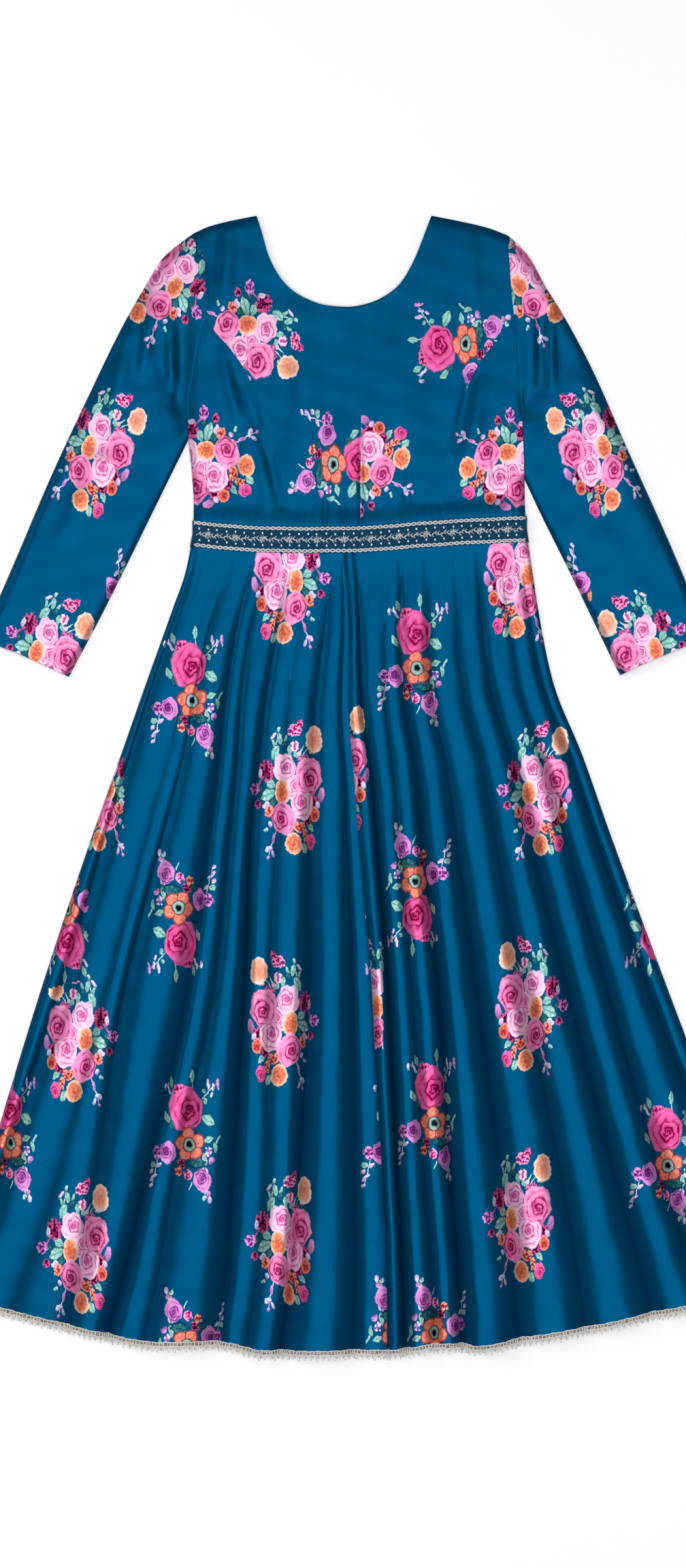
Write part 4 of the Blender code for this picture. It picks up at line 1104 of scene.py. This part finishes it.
# What the height at each of those places is multiplied by. The one at 0.30 serves for 0.12 too
FOLD_GROWTH = (0.0, 0.8, 1.6, 1.4, 1.2)
FOLDS = (
    # place at 0.12, 0.30, 0.55, 0.80, 1.00 of the way down, height in mm at 0.30, 0.55, 1.00
    (0.000, 0.000, 0.000, 0.000, 0.000, 0.0, 0.0, 0.0),  # left edge
    (0.006, 0.009, 0.013, 0.009, 0.007, 2.0, 4.0, 4.0),
    (0.013, 0.018, 0.027, 0.018, 0.014, 0.0, 0.0, 0.0),
    (0.050, 0.068, 0.072, 0.054, 0.045, 3.0, 7.0, 9.0),
    (0.080, 0.096, 0.098, 0.089, 0.077, 2.0, 5.0, 5.0),
    (0.096, 0.113, 0.110, 0.112, 0.110, 2.5, 6.0, 8.0),
    (0.110, 0.130, 0.125, 0.139, 0.143, 1.0, 2.0, 3.0),
    (0.144, 0.168, 0.172, 0.172, 0.168, 4.0, 8.0, 11.0),
    (0.178, 0.206, 0.223, 0.205, 0.193, 0.0, 0.0, 0.0),
    (0.199, 0.229, 0.246, 0.225, 0.215, 5.0, 9.0, 12.0),
    (0.220, 0.250, 0.268, 0.245, 0.238, 2.5, 5.5, 8.0),
    (0.255, 0.272, 0.291, 0.283, 0.275, 5.0, 10.0, 14.0),
    (0.294, 0.295, 0.319, 0.325, 0.325, 0.5, 0.0, 0.0),
    (0.320, 0.323, 0.340, 0.347, 0.343, 4.0, 8.0, 12.0),
    (0.346, 0.350, 0.360, 0.371, 0.362, 3.0, 6.0, 8.0),
    (0.380, 0.380, 0.390, 0.394, 0.382, 4.5, 9.0, 12.0),
    (0.420, 0.415, 0.425, 0.416, 0.402, 0.5, 0.0, 0.0),
    (0.454, 0.458, 0.462, 0.456, 0.448, 5.0, 10.0, 15.0),
    (0.474, 0.490, 0.499, 0.494, 0.490, 2.0, 2.0, 1.0),
    (0.482, 0.499, 0.514, 0.513, 0.510, 2.5, 6.0, 8.0),
    (0.491, 0.507, 0.531, 0.532, 0.530, 2.5, 5.0, 6.0),  # centre seam
    (0.503, 0.528, 0.545, 0.542, 0.540, 5.0, 9.0, 11.0),
    (0.515, 0.546, 0.558, 0.553, 0.551, 0.0, 0.0, 0.0),  # back of the pleat beside the seam
    (0.550, 0.573, 0.578, 0.572, 0.569, 5.0, 9.5, 13.0),
    (0.582, 0.595, 0.598, 0.590, 0.588, 3.0, 5.5, 6.0),
    (0.602, 0.617, 0.618, 0.606, 0.603, 4.5, 9.0, 13.0),
    (0.624, 0.642, 0.641, 0.626, 0.621, 0.0, 0.0, 0.0),
    (0.660, 0.672, 0.668, 0.656, 0.649, 5.5, 11.0, 16.0),
    (0.702, 0.710, 0.705, 0.697, 0.690, 1.0, 1.0, 1.0),
    (0.738, 0.746, 0.742, 0.736, 0.730, 4.0, 9.0, 13.0),
    (0.778, 0.785, 0.780, 0.776, 0.770, 1.0, 2.0, 3.0),
    (0.812, 0.818, 0.815, 0.811, 0.808, 4.0, 8.0, 12.0),
    (0.846, 0.850, 0.848, 0.846, 0.850, 0.0, 0.0, 1.0),
    (0.880, 0.884, 0.880, 0.877, 0.884, 4.0, 8.0, 12.0),
    (0.918, 0.918, 0.911, 0.905, 0.914, 1.5, 1.0, 1.0),
    (0.946, 0.945, 0.942, 0.941, 0.947, 3.5, 7.0, 9.0),
    (0.974, 0.974, 0.973, 0.976, 0.979, 0.0, 0.0, 0.0),
    (0.987, 0.987, 0.987, 0.988, 0.990, 1.5, 3.0, 4.0),
    (1.000, 1.000, 1.000, 1.000, 1.000, 0.0, 0.0, 0.0),  # right edge
)
SEAM_LINE = 20  # row of FOLDS that is the centre seam
PLEAT_LINE = 22  # row that is the back of the pleat beside it
PLEAT_DRIFT = 0.036  # how far to the left the seam and the pleat start at the waist
CREST_BREADTH = 2.6  # above 1, crests are broad and level, and troughs are tight
SKIRT_ROWS = 290
SKIRT_COLUMN = 2.3 * MM  # width of a column at the hem
HEM_WIDTH = (SKIRT_SIDES[-1][2] - SKIRT_SIDES[-1][1]) * MM
HEM_EDGE = ((0.10, 0.25), (0.12, 0.80), (0.05, 1.20))  # out and down, like SEWN
GATHERS = 38  # across the front, just below the belt


def fold_columns(first, last):
    """Columns from one line of FOLDS to another: which line is to the left, and how far past it."""
    left, past = [], []
    for i in range(first, last):
        width = (FOLDS[i + 1][4] - FOLDS[i][4]) * HEM_WIDTH
        count = max(4, round(width / SKIRT_COLUMN))
        left += [i] * count
        past += [k / count for k in range(count)]
    return np.array(left + [last - 1]), np.array(past + [1.0])


def folds(left, past, down):
    """Fraction across and height of each place, and the fraction across of the pleat.

    From a trough to a crest, height goes as 1 - (1 - fraction of the way) ** CREST_BREADTH."""
    places = [smooth(FOLD_PLACES, row[:5], down) for row in FOLDS]
    grown = [np.array((0.0, row[5], *row[5:])) * FOLD_GROWTH for row in FOLDS]
    heights = [MM * smooth(FOLD_HEIGHTS, row, down) for row in grown]
    places, heights = np.stack(places, axis=1), np.stack(heights, axis=1)
    at_waist = eased(1.0 - down / 0.13)[:, None]
    places -= PLEAT_DRIFT * at_waist * np.exp(-(((places - 0.5) / 0.06) ** 2))
    across = places[:, left] + past * (places[:, left + 1] - places[:, left])
    start, end = heights[:, left], heights[:, left + 1]
    from_low = np.where(start <= end, past, 1.0 - past)
    climb = 1.0 - (1.0 - from_low) ** CREST_BREADTH
    return across, np.minimum(start, end) + np.abs(end - start) * climb, places[:, PLEAT_LINE, None]


def skirt_front_points(first, last, seam_edge, seed):
    """A front panel between two lines of FOLDS, with gathers below the waist and faint swells.

    Two thin grooves start below the belt, at the seam and at the pleat beside it, and fade out."""
    down = np.linspace(0.0, 1.0, SKIRT_ROWS + 1)
    across, rise, pleat = folds(*fold_columns(first, last), down)
    down = down[:, None]
    plan = skirt_plan(across, down)
    x, y = plan[..., 0], plan[..., 1]
    gathers = np.sin(2 * np.pi * GATHERS * across + 2.6 * np.sin(17 * across + seed))
    at_waist = eased((down - 0.018) / 0.02) * np.exp(-(down - 0.018).clip(0) / 0.055)
    faint = 0.26 * gathers * at_waist + 0.5 * swells(x, y, seed) * eased((down - 0.05) / 0.1)
    height = front_top(x, y) + rise + puff_shape(x, y) * faint * MM
    seam = across[:, -1:] if seam_edge == "right" else across[:, :1]
    for line, depth in ((seam, 0.9), (pleat, 0.8)):
        off = x - skirt_plan(line, down)[..., 0]
        height -= depth * MM * eased(1.0 - down / 0.3) * np.exp(-((off / (1.6 * MM)) ** 2))
    points = seam_pucker(lay(plan, height), seam_edge, seed)
    points = turned_edge(points, "left", SEWN if seam_edge == "left" else FOLDED)
    points = turned_edge(points, "right", SEWN if seam_edge == "right" else FOLDED)
    return turned_edge(points, "bottom", HEM_EDGE)


SKIRT_FRONTS = (
    # side, first and last line, edge with the seam, seed, motifs
    (
        "left", 0, SEAM_LINE, "right", 0.6,
        (
            ("bouquet mirrored", -93.9, 255.0, 0),
            ("bouquet", -88.4, -7.6, 0),
            ("bouquet mirrored", -100.3, -295.8, 0),
            ("bouquet", -93.5, -569.5, 0),
            ("bouquet mirrored", -355.6, -316.0, 0),
            ("bouquet", -352.7, -578.9, 0),
            ("bouquet mirrored", -325.0, -4.0, 0, -420.0, -297.0, -120.0, 100.0),
            ("spray", -214.0, 127.5, 0),
            ("spray", -226.4, -174.3, 180),
            ("spray", -217.2, -425.0, 0),
            ("spray", -216.0, -719.0, 180),
            ("spray", -440.0, -424.0, 0),
            ("spray", -366.0, -176.0, 180, -420.0, -342.0, -280.0, -80.0),
            ("spray", 45.0, -176.0, 180),
            ("spray", 49.0, -426.0, 0),
            ("spray", 45.0, -705.0, 180),
        ),
    ),
    (
        "right", SEAM_LINE, len(FOLDS) - 1, "left", 2.8,
        (
            ("bouquet", -32.6, 17.0, 0, -60.0, 9.0, -90.0, 125.0),
            ("bouquet mirrored", 9.0, -275.0, 0, -60.0, 26.0, -380.0, -170.0),
            ("spray", 66.3, 167.9, 0),
            ("spray", 68.3, -141.4, 180),
            ("spray", 87.6, -398.7, 0),
            ("spray", 91.3, -703.5, 180),
            ("bouquet mirrored", 196.0, 262.0, 0),
            ("bouquet", 219.0, -9.0, 0),
            ("bouquet mirrored", 206.6, -277.0, 0),
            ("bouquet", 195.5, -540.6, 0),
            ("spray", 379.0, -452.0, 0),
            ("spray", 364.0, -167.0, 180),
            ("spray", 352.0, 100.0, 0),
            ("bouquet", 500.0, -560.0, 0),
        ),
    ),
)
skirt_fronts = []
for side, first, last, seam_edge, seed, motifs in SKIRT_FRONTS:
    points = skirt_front_points(first, last, seam_edge, seed)
    piece = cloth("skirt_cloth_" + side, points, placed=motifs, over_folds=True)
    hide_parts("skirt_front_" + side)
    skirt_fronts.append((piece, points))

# ================================================================ belt
# A band of dark teal silk, embroidered in silver thread and sewn round the waist.
# A thick chain of two crossing cords runs along each edge, and a fine vine between them.
# Small glass drops lie above and below the vine.

BELT_EDGE_ROW = 5.4 * MM  # height of the row that a chain takes along each edge
LINK = 6.7 * MM  # length of a link of the chains
CHAIN_SWING = 1.55 * MM  # how far each cord of a chain goes to both sides
CHAIN_CORD = 0.98 * MM  # radius
VINE_SWING = 1.5 * MM
VINE_CORD = 0.42 * MM  # radius
DROP_STEP = 11.3 * MM
# Along the belt, in mm, from the first stitch to the last or just past it
CHAIN_SPAN = (-209.5, 203.5)
VINE_SPAN = (-207.0, 201.0)
FLORET_SPAN = (-192.0, 195.0)
DROP_SPAN = (-203.0, 200.0)
PETAL_TURNS = (90, 52, 128, 18, 162, -90, -40, -140)  # of the eight strokes of a floret
# Radii in mm along one stroke or bead, from its start to its end
PETAL = (0.30, 0.48, 0.62, 0.22)
LEAF = (0.20, 0.45, 0.55, 0.42, 0.15)
DROP = (0.30, 0.80, 1.25, 1.05, 0.35)
LEAVES = (
    # how far a leaf leans along the belt, which way it grows, its length
    (3.0, 1.0, 3.4),
    (2.2, -1.0, 2.6),
)
LEVEL_PAST = (-209.0 * MM, 203.0 * MM)  # past these the band doesn't follow the cloth down
# Round each end of the band, from its face down: how far out, and share of the face's height
BAND_END = ((1.3, 0.80), (1.9, 0.50), (1.9, 0.25), (1.3, 0.05))


def belt_run(height, count):
    """X of places across the face of the band at a height above its middle line."""
    down = max(0.0, -height) / (waist_y(0.0) - hem_y(0.0))
    left, right = skirt_plan(0.0, down)[0], skirt_plan(1.0, down)[0]
    end = np.linspace(0.0, 0.03, 9)[:-1]
    across = np.concatenate([end, np.linspace(0.03, 0.97, count), 1.0 - end[::-1]])
    return left + across * (right - left)


def belt_face(x, y):
    """Height of the band's face: it follows the cloth under it, and its edges are a little rounded."""
    inside = np.clip(x, *LEVEL_PAST)
    off = np.abs(y - waist_y(inside)) / (BELT_HEIGHT / 2)
    return front_top(inside, y) + SEAM_GAP + BELT_WALL - 0.5 * MM * off**8


def belt_ring():
    """Rows round the band: its face from left to right, then its level underside.

    The top and bottom edges waver a little, and each has one more row that is tucked in."""
    out, share = np.array(BAND_END).T
    rows = []
    for height in np.linspace(BELT_HEIGHT / 2, -BELT_HEIGHT / 2, 21):
        x = belt_run(height, 150)
        y = waist_y(x) + height + 0.12 * MM * np.sin(x / (3.8 * MM) * 2 * np.pi)
        face = np.stack([x, y, belt_face(x, y)], axis=1)
        right = np.stack([x[-1] + out * MM, np.full(len(out), y[-1]), share * face[-1, 2]], axis=1)
        left = np.stack([x[0] - out * MM, np.full(len(out), y[0]), share * face[0, 2]], axis=1)
        under = np.stack([x[::-4], y[::-4], np.zeros(len(x[::-4]))], axis=1)
        rows.append(np.concatenate([face, right, under, left[::-1]]))
    ring = np.stack(rows)
    inner = ring.mean(axis=1, keepdims=True)
    tuck = ring.copy()
    tuck[..., 2] += np.where(ring[..., 2] > inner[..., 2], -1.6 * MM, 1.2 * MM)
    return np.concatenate([tuck[:1], ring, tuck[-1:]])


def band_silk():
    """Dark teal silk with a fine cross weave."""
    net = Net("belt_silk")
    spot = net.place()
    x, y, _ = net.split(spot)
    weave = net.math("SINE", x * 7000.0) * net.math("SINE", y * 7000.0)
    shade = net.noise(spot, 90.0)
    sockets = {
        "Base Color": net.blend(shade, dye(4, 52, 78), dye(10, 68, 98)),
        "Roughness": shade.times(0.2, 0.36),
        "Metallic": 0.2,
        "Specular IOR Level": 0.12,
        "Normal": net.bumped(weave.times(0.5, 0.5), 0.0002),
    }
    return net.finish(sockets)


def silver_thread():
    """Bright silver thread: a fine twist across it, duller where it is rubbed."""
    net = Net("silver_thread")
    spot = net.place()
    x, y, z = net.split(spot)
    twist = net.math("SINE", (x + y + z) * 8500.0).times(0.5, 0.5)
    rubbed = net.noise(spot, 160.0)
    sockets = {
        "Base Color": net.blend(rubbed, dye(206, 206, 204), dye(244, 245, 247)),
        "Roughness": rubbed.times(0.20, 0.26),
        "Metallic": rubbed.times(-0.3, 0.4),
        "Normal": net.bumped(twist, 0.0002),
    }
    return net.finish(sockets)


def drop_glass():
    """Pale glass with a blue cast that drifts from drop to drop."""
    net = Net("drop_glass")
    drift = net.noise(net.place(), 70.0)
    sockets = {
        "Base Color": net.blend(drift, dye(168, 208, 240), dye(240, 246, 252)),
        "Roughness": drift.times(0.1, 0.12),
        "Coat Weight": 0.4,
    }
    return net.finish(sockets)


def stitched(name, look, groups):
    """Fine cords, stitches and beads in one mesh. A group is (paths, radii, sides).

    Each path carries a ring at each point: the point plus its radius times cos of its level normal
    plus sin of its upper normal. The ends are closed by a face each."""
    points, faces, start = [], [], 0
    for paths, radii, sides in groups:
        forward = np.gradient(paths, axis=1)
        level = np.cross(forward, (1e-9, 0.0, 1.0))
        level /= np.linalg.norm(level, axis=2, keepdims=True)
        upper = np.cross(level, forward)
        upper /= np.linalg.norm(upper, axis=2, keepdims=True)
        angle = 2 * np.pi * np.arange(sides)[:, None] / sides
        ring = np.cos(angle) * level[:, :, None] + np.sin(angle) * upper[:, :, None]
        made = paths[:, :, None] + np.broadcast_to(radii, paths.shape[:2])[:, :, None, None] * ring
        index = start + np.arange(made.size // 3).reshape(made.shape[:3])
        after = np.roll(index, -1, axis=2)
        quads = np.stack([index[:, :-1], index[:, 1:], after[:, 1:], after[:, :-1]], axis=-1)
        points.append(made.reshape(-1, 3))
        faces += quads.reshape(-1, 4).tolist() + index[:, 0].tolist() + index[:, -1, ::-1].tolist()
        start += made.size // 3
    return sewn_on(name, np.concatenate(points), faces, look)


def on_belt(x, off, lift):
    """Points over the band's face, from X, the distance above its middle line and a lift."""
    x, off = np.broadcast_arrays(x, off)
    y = waist_y(x) + off
    return np.stack([x, y, belt_face(x, y) + lift], axis=-1)


def belt_chains():
    """Two cords that cross each other in even waves along each edge, one over the other in turn."""
    paths = []
    for middle in (BELT_HEIGHT / 2 - BELT_EDGE_ROW / 2, BELT_EDGE_ROW / 2 - BELT_HEIGHT / 2):
        x = np.linspace(*CHAIN_SPAN, 620) * MM
        wave = x / LINK * np.pi + 0.5 * np.sin(x / (23 * MM) + 90.0 * middle)
        for way in (1, -1):
            off = middle + way * CHAIN_SWING * np.sin(wave) + 0.2 * MM * np.sin(x / (9 * MM))
            paths.append(on_belt(x, off, (0.5 + way * 0.35 * np.cos(wave)) * MM))
    return np.stack(paths), CHAIN_CORD, 6


def vine_wave(x):
    """Distance of the vine above the middle line: a wave whose length wavers a little."""
    return VINE_SWING * np.sin(x / DROP_STEP * 2 * np.pi + 0.8 * np.sin(x / (41 * MM)))


def belt_vine():
    """The stem of the vine: one cord that lies on its wave from end to end."""
    x = np.linspace(*VINE_SPAN, 620) * MM
    return on_belt(x, vine_wave(x), 0.25 * MM)[None], VINE_CORD, 5


def belt_florets():
    """Open flowers on every third step of the vine: strokes that fan out from a middle."""
    at = np.arange(*FLORET_SPAN, 3 * DROP_STEP / MM) * MM
    turn = 0.25 * np.sin(5.3 * np.arange(len(at)))
    angle = turn[:, None] + np.radians(PETAL_TURNS)
    reach = 1.0 + 0.12 * np.sin(3.1 * np.arange(len(at)))[:, None, None]
    out = np.array([0.7, 2.0, 3.6, 5.0]) * MM * reach
    x = at[:, None, None] + np.cos(angle)[..., None] * out
    off = np.sin(angle)[..., None] * out
    paths = on_belt(x, off, np.array([0.55, 0.6, 0.5, 0.2]) * MM)
    return paths.reshape(-1, len(PETAL), 3), np.array(PETAL) * MM, 5


def belt_leaves():
    """Curved leaf strokes in pairs off the vine, between the flowers."""
    at = np.arange(*DROP_SPAN, DROP_STEP / MM / 3) * MM
    way = np.where(np.arange(len(at)) % 2, 1.0, -1.0)[:, None]
    t = np.linspace(0.0, 1.0, len(LEAF))
    paths = []
    for lean, side, length in LEAVES:
        x = at[:, None] + lean * t**1.4 * MM + 0.4 * MM * np.sin(2.1 * at[:, None] / MM)
        off = vine_wave(at)[:, None] + side * way * length * t * MM
        paths.append(on_belt(x, off, 0.25 * MM))
    return np.concatenate(paths), np.array(LEAF) * MM, 5


def belt_drops():
    """Glass drops that point away from the vine, one above and one below at each step."""
    at = np.arange(*DROP_SPAN, DROP_STEP / MM) * MM
    out = np.array([5.6, 6.1, 7.1, 8.1, 8.5]) * MM + 0.4 * MM * np.sin(3.7 * np.arange(len(at)))[:, None]
    x = at[:, None] + 0.5 * MM * np.sin(2.3 * np.arange(len(at)))[:, None]
    paths = np.concatenate([on_belt(x, out, 0.35 * MM), on_belt(x + 0.3 * MM, -out, 0.35 * MM)])
    return paths, np.array(DROP) * MM, 7


belt_points = belt_ring()
belt_faces = grid_faces(*belt_points.shape[:2], True)[:, ::-1].tolist()
belt_band = sewn_on("belt_band", belt_points, belt_faces, band_silk())
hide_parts("belt")
belt_cords = (belt_chains(), belt_vine(), belt_florets(), belt_leaves())
belt_work = stitched("belt_embroidery", silver_thread(), belt_cords)
belt_glass = stitched("belt_drops", drop_glass(), (belt_drops(),))
cut(belt_band, belt_points[1:-1], ring=True, with_pieces=[belt_work, belt_glass])

# ================================================================ hem braid
# A narrow openwork braid of silver and champagne thread, sewn to the edge of the skirt all round.
# Two rails of thread are joined by bars over a dark strip, in the colour of the dark gaps between them, and
# knotted loops hang below.

UPPER_RAIL = 0.4 * MM  # below the edge of the cloth
LOWER_RAIL = 5.2 * MM
RAIL_LIFT = 0.9 * MM
THREAD_LIFT = 0.6 * MM  # of what is sewn below the rails
BAR_STEP = 4.4 * MM
STITCH_STEP = 1.9 * MM
LOOP_STEP = 7.4 * MM
RAIL_CORD = 0.75 * MM  # radius
LOOP_CORD = 0.42 * MM  # radius
# Radii in mm along one bar, stitch or knot, from its start to its end
BAR = (0.5, 0.62, 0.62, 0.5)
STITCH = (0.40, 0.55, 0.40)
KNOT = (0.35, 0.95, 0.35)
GAP_STRIP_LINES = (0.3, 2.8, 5.3)  # mm below the edge of the cloth
BRAID_SINK = 1.1 * MM  # below the face of the cloth, so that the braid hangs from its edge


def braid_run(run):
    """A function that gives places along the edge of the cloth, and the length of that edge."""
    length = along(run)

    def at(place, drop, lift):
        """The point at a length along the edge, moved down towards the hem and lifted."""
        place, drop = np.broadcast_arrays(place, drop)
        spot = np.stack([np.interp(place, length, run[:, i]) for i in range(3)], axis=-1)
        spot[..., 1] -= drop
        spot[..., 2] += lift
        return spot

    return at, length[-1]


def braid_on(run):
    """Rails, bars, a zigzag of stitches, loops and knots along a run of points."""
    at, end = braid_run(run)
    rail = np.linspace(0.0, end, 2 * int(end / (2.2 * MM)))
    wander = 0.3 * MM * np.sin(rail / (3.1 * MM)) + 0.2 * MM * np.sin(rail / (1.3 * MM))
    rails = np.stack([at(rail, drop, RAIL_LIFT) for drop in (UPPER_RAIL + wander, LOWER_RAIL - wander)])
    bars = np.arange(BAR_STEP, end - BAR_STEP, BAR_STEP)[:, None]
    bars = bars + 0.7 * MM * np.sin(1.7 * bars / MM)
    across = at(bars, np.linspace(UPPER_RAIL, LOWER_RAIL, len(BAR)), RAIL_LIFT)
    stitch = np.arange(2.0 * MM, end - 2.0 * MM, STITCH_STEP)
    way = np.where(np.arange(len(stitch)) % 2, 1.0, -1.0)[:, None]
    t = np.linspace(-1.0, 1.0, len(STITCH))
    zigzag = at(stitch[:, None] + STITCH_STEP / 2 * t, 6.9 * MM + way * 1.1 * MM * t, THREAD_LIFT)
    loops = np.arange(LOOP_STEP, end - LOOP_STEP, LOOP_STEP)[:, None]
    loops = loops + 1.4 * MM * np.sin(0.9 * loops / MM)
    turn = np.linspace(-0.25 * np.pi, 1.25 * np.pi, 7)
    long = (1.6 + 0.5 * np.sin(2.3 * np.arange(len(loops))))[:, None] * MM
    loop = at(loops + 1.5 * MM * np.cos(turn), 8.2 * MM + long + long * np.sin(turn), 0.5 * MM)
    knots = at(loops, 8.6 * MM + 2 * long + 1.0 * MM * t, THREAD_LIFT)
    return (
        (rails, RAIL_CORD, 5),
        (across, np.array(BAR) * MM, 5),
        (zigzag, np.array(STITCH) * MM, 5),
        (loop, LOOP_CORD, 5),
        (knots, np.array(KNOT) * MM, 6),
    )


def braid_gap_strip(name, look, run):
    """The dark strip behind the rails: three lines of points along the edge."""
    at, end = braid_run(run)
    place = np.linspace(0.0, end, int(end / (4.0 * MM)))
    strip = np.stack([at(place, drop * MM, 0.3 * MM) for drop in GAP_STRIP_LINES])
    return sewn_on(name, strip, grid_faces(*strip.shape[:2], False).tolist(), look)


def dark_gap_strip():
    """A dark brownish strip with pale flecks through it, in the colour of the dark gaps between the rails.
    """
    net = Net("dark_gap_strip")
    spot = net.place()
    shade = net.noise(spot, 420.0)
    sockets = {
        # dark brown with pale flecks: the colour of the dark gaps seen between the braid's rails
        "Base Color": net.blend(shade.times(3.0, -1.1, clamp=True), dye(84, 76, 72), dye(186, 178, 170)),
        "Roughness": 0.7,
        "Normal": net.bumped(shade, 0.0003),
    }
    return net.finish(sockets)


def champagne_thread():
    """Silver thread with a warm tinge: its colour drifts a little along the braid."""
    net = Net("champagne_thread")
    spot = net.place()
    x, y, z = net.split(spot)
    drift = net.noise(spot, 60.0)
    twist = net.math("SINE", (x - y + z) * 7000.0).times(0.5, 0.5)
    sockets = {
        "Base Color": net.blend(drift, dye(218, 212, 202), dye(248, 247, 244)),
        "Roughness": drift.times(0.20, 0.30),
        "Metallic": drift.times(-0.2, 0.32),
        "Normal": net.bumped(twist, 0.0002),
    }
    return net.finish(sockets)


CHAMPAGNE_THREAD = champagne_thread()
DARK_GAP_STRIP = dark_gap_strip()
hem_back = skirt_plan(np.linspace(0.0, 1.0, 601), np.array([1.0]))
hem_edges = {
    "front": np.concatenate([points[-1 - len(HEM_EDGE)] for _, points in skirt_fronts]),
    "back": lay(hem_back, np.full(len(hem_back), CLOTH)),
}
braids = {}
for side, edge in hem_edges.items():
    run = edge - (0.0, 0.0, BRAID_SINK)
    braid = stitched("hem_braid_" + side, CHAMPAGNE_THREAD, braid_on(run))
    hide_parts("hem_trim_" + side)
    braids[side] = [braid, braid_gap_strip("hem_gap_strip_" + side, DARK_GAP_STRIP, run)]
for piece, points in skirt_fronts:
    cut(piece, points, with_pieces=braids["front"] if piece == skirt_fronts[0][0] else ())

# ================================================================ floor, light and camera
# A plain white table top, just below the gown's underside so that the two don't touch.
# A wide soft light hangs over it and a weaker one to its left, in a room that glows faintly.

FLOOR_REACH = 9.0
FLOOR_LEVEL = -0.4 * MM
LIGHTS = (
    # name, place, size, power in watts
    ("softbox_above", (0.0, -0.45, 5.6), 4.2, 262.0),
    ("softbox_left", (-4.2, 1.6, 3.4), 2.4, 64.0),
)
ROOM_GLOW = (0.27, 0.27, 0.285, 1.0)
VIEW_MIDDLE = (-0.0238, 0.0017)
VIEW_LENGTH = 1.9584  # what the long side of the view takes in, at the level of the floor
CAMERA_HEIGHT = 4.6


def table_paint():
    """Matt white paint with broad, faint clouds."""
    net = Net("floor_paint")
    clouds = net.noise(net.place(), 3.0)
    colour = net.blend(clouds, (0.93, 0.93, 0.93, 1.0), (0.95, 0.95, 0.95, 1.0))
    return net.finish({"Base Color": colour, "Roughness": 0.8})


def aimed_at_middle(x, y, z):
    """Turn of a lamp at a place so that it shines at the origin.

    It is tipped up from straight down by the angle whose tangent is level distance over height,
    and then swung round until it looks back along its own direction in plan."""
    return float(np.arctan2(np.hypot(x, y), z)), 0.0, float(np.arctan2(x, -y))


floor_mesh = bpy.data.meshes.new("floor")
floor_plan = FLOOR_REACH * np.array([(-1, -1), (1, -1), (1, 1), (-1, 1)])
floor_mesh.from_pydata(lay(floor_plan, np.full(4, FLOOR_LEVEL)).tolist(), [], [(0, 1, 2, 3)])
floor_mesh.materials.append(table_paint())
floor = bpy.data.objects.new("floor", floor_mesh)
bpy.context.scene.collection.objects.link(floor)
floor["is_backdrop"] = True

for name, place, size, power in LIGHTS:
    lamp = bpy.data.lights.new(name, "AREA")
    lamp.shape = "SQUARE"
    lamp.size = size
    lamp.energy = power
    softbox = bpy.data.objects.new(name, lamp)
    softbox.location = place
    softbox.rotation_euler = aimed_at_middle(*place)
    bpy.context.scene.collection.objects.link(softbox)

world = bpy.data.worlds.new("studio")
world.use_nodes = True
world.node_tree.nodes["Background"].inputs["Color"].default_value = ROOM_GLOW
bpy.context.scene.world = world
bpy.context.scene.view_settings.view_transform = "Standard"

camera_lens = bpy.data.cameras.new("camera")
camera_lens.sensor_width = 36.0
camera_lens.lens = camera_lens.sensor_width * CAMERA_HEIGHT / VIEW_LENGTH
camera = bpy.data.objects.new("camera", camera_lens)
camera.location = (*VIEW_MIDDLE, CAMERA_HEIGHT)
bpy.context.scene.collection.objects.link(camera)
bpy.context.scene.camera = camera

boxes = [[list(corner) for corner in box] for box in (CAD_BOX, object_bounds())]
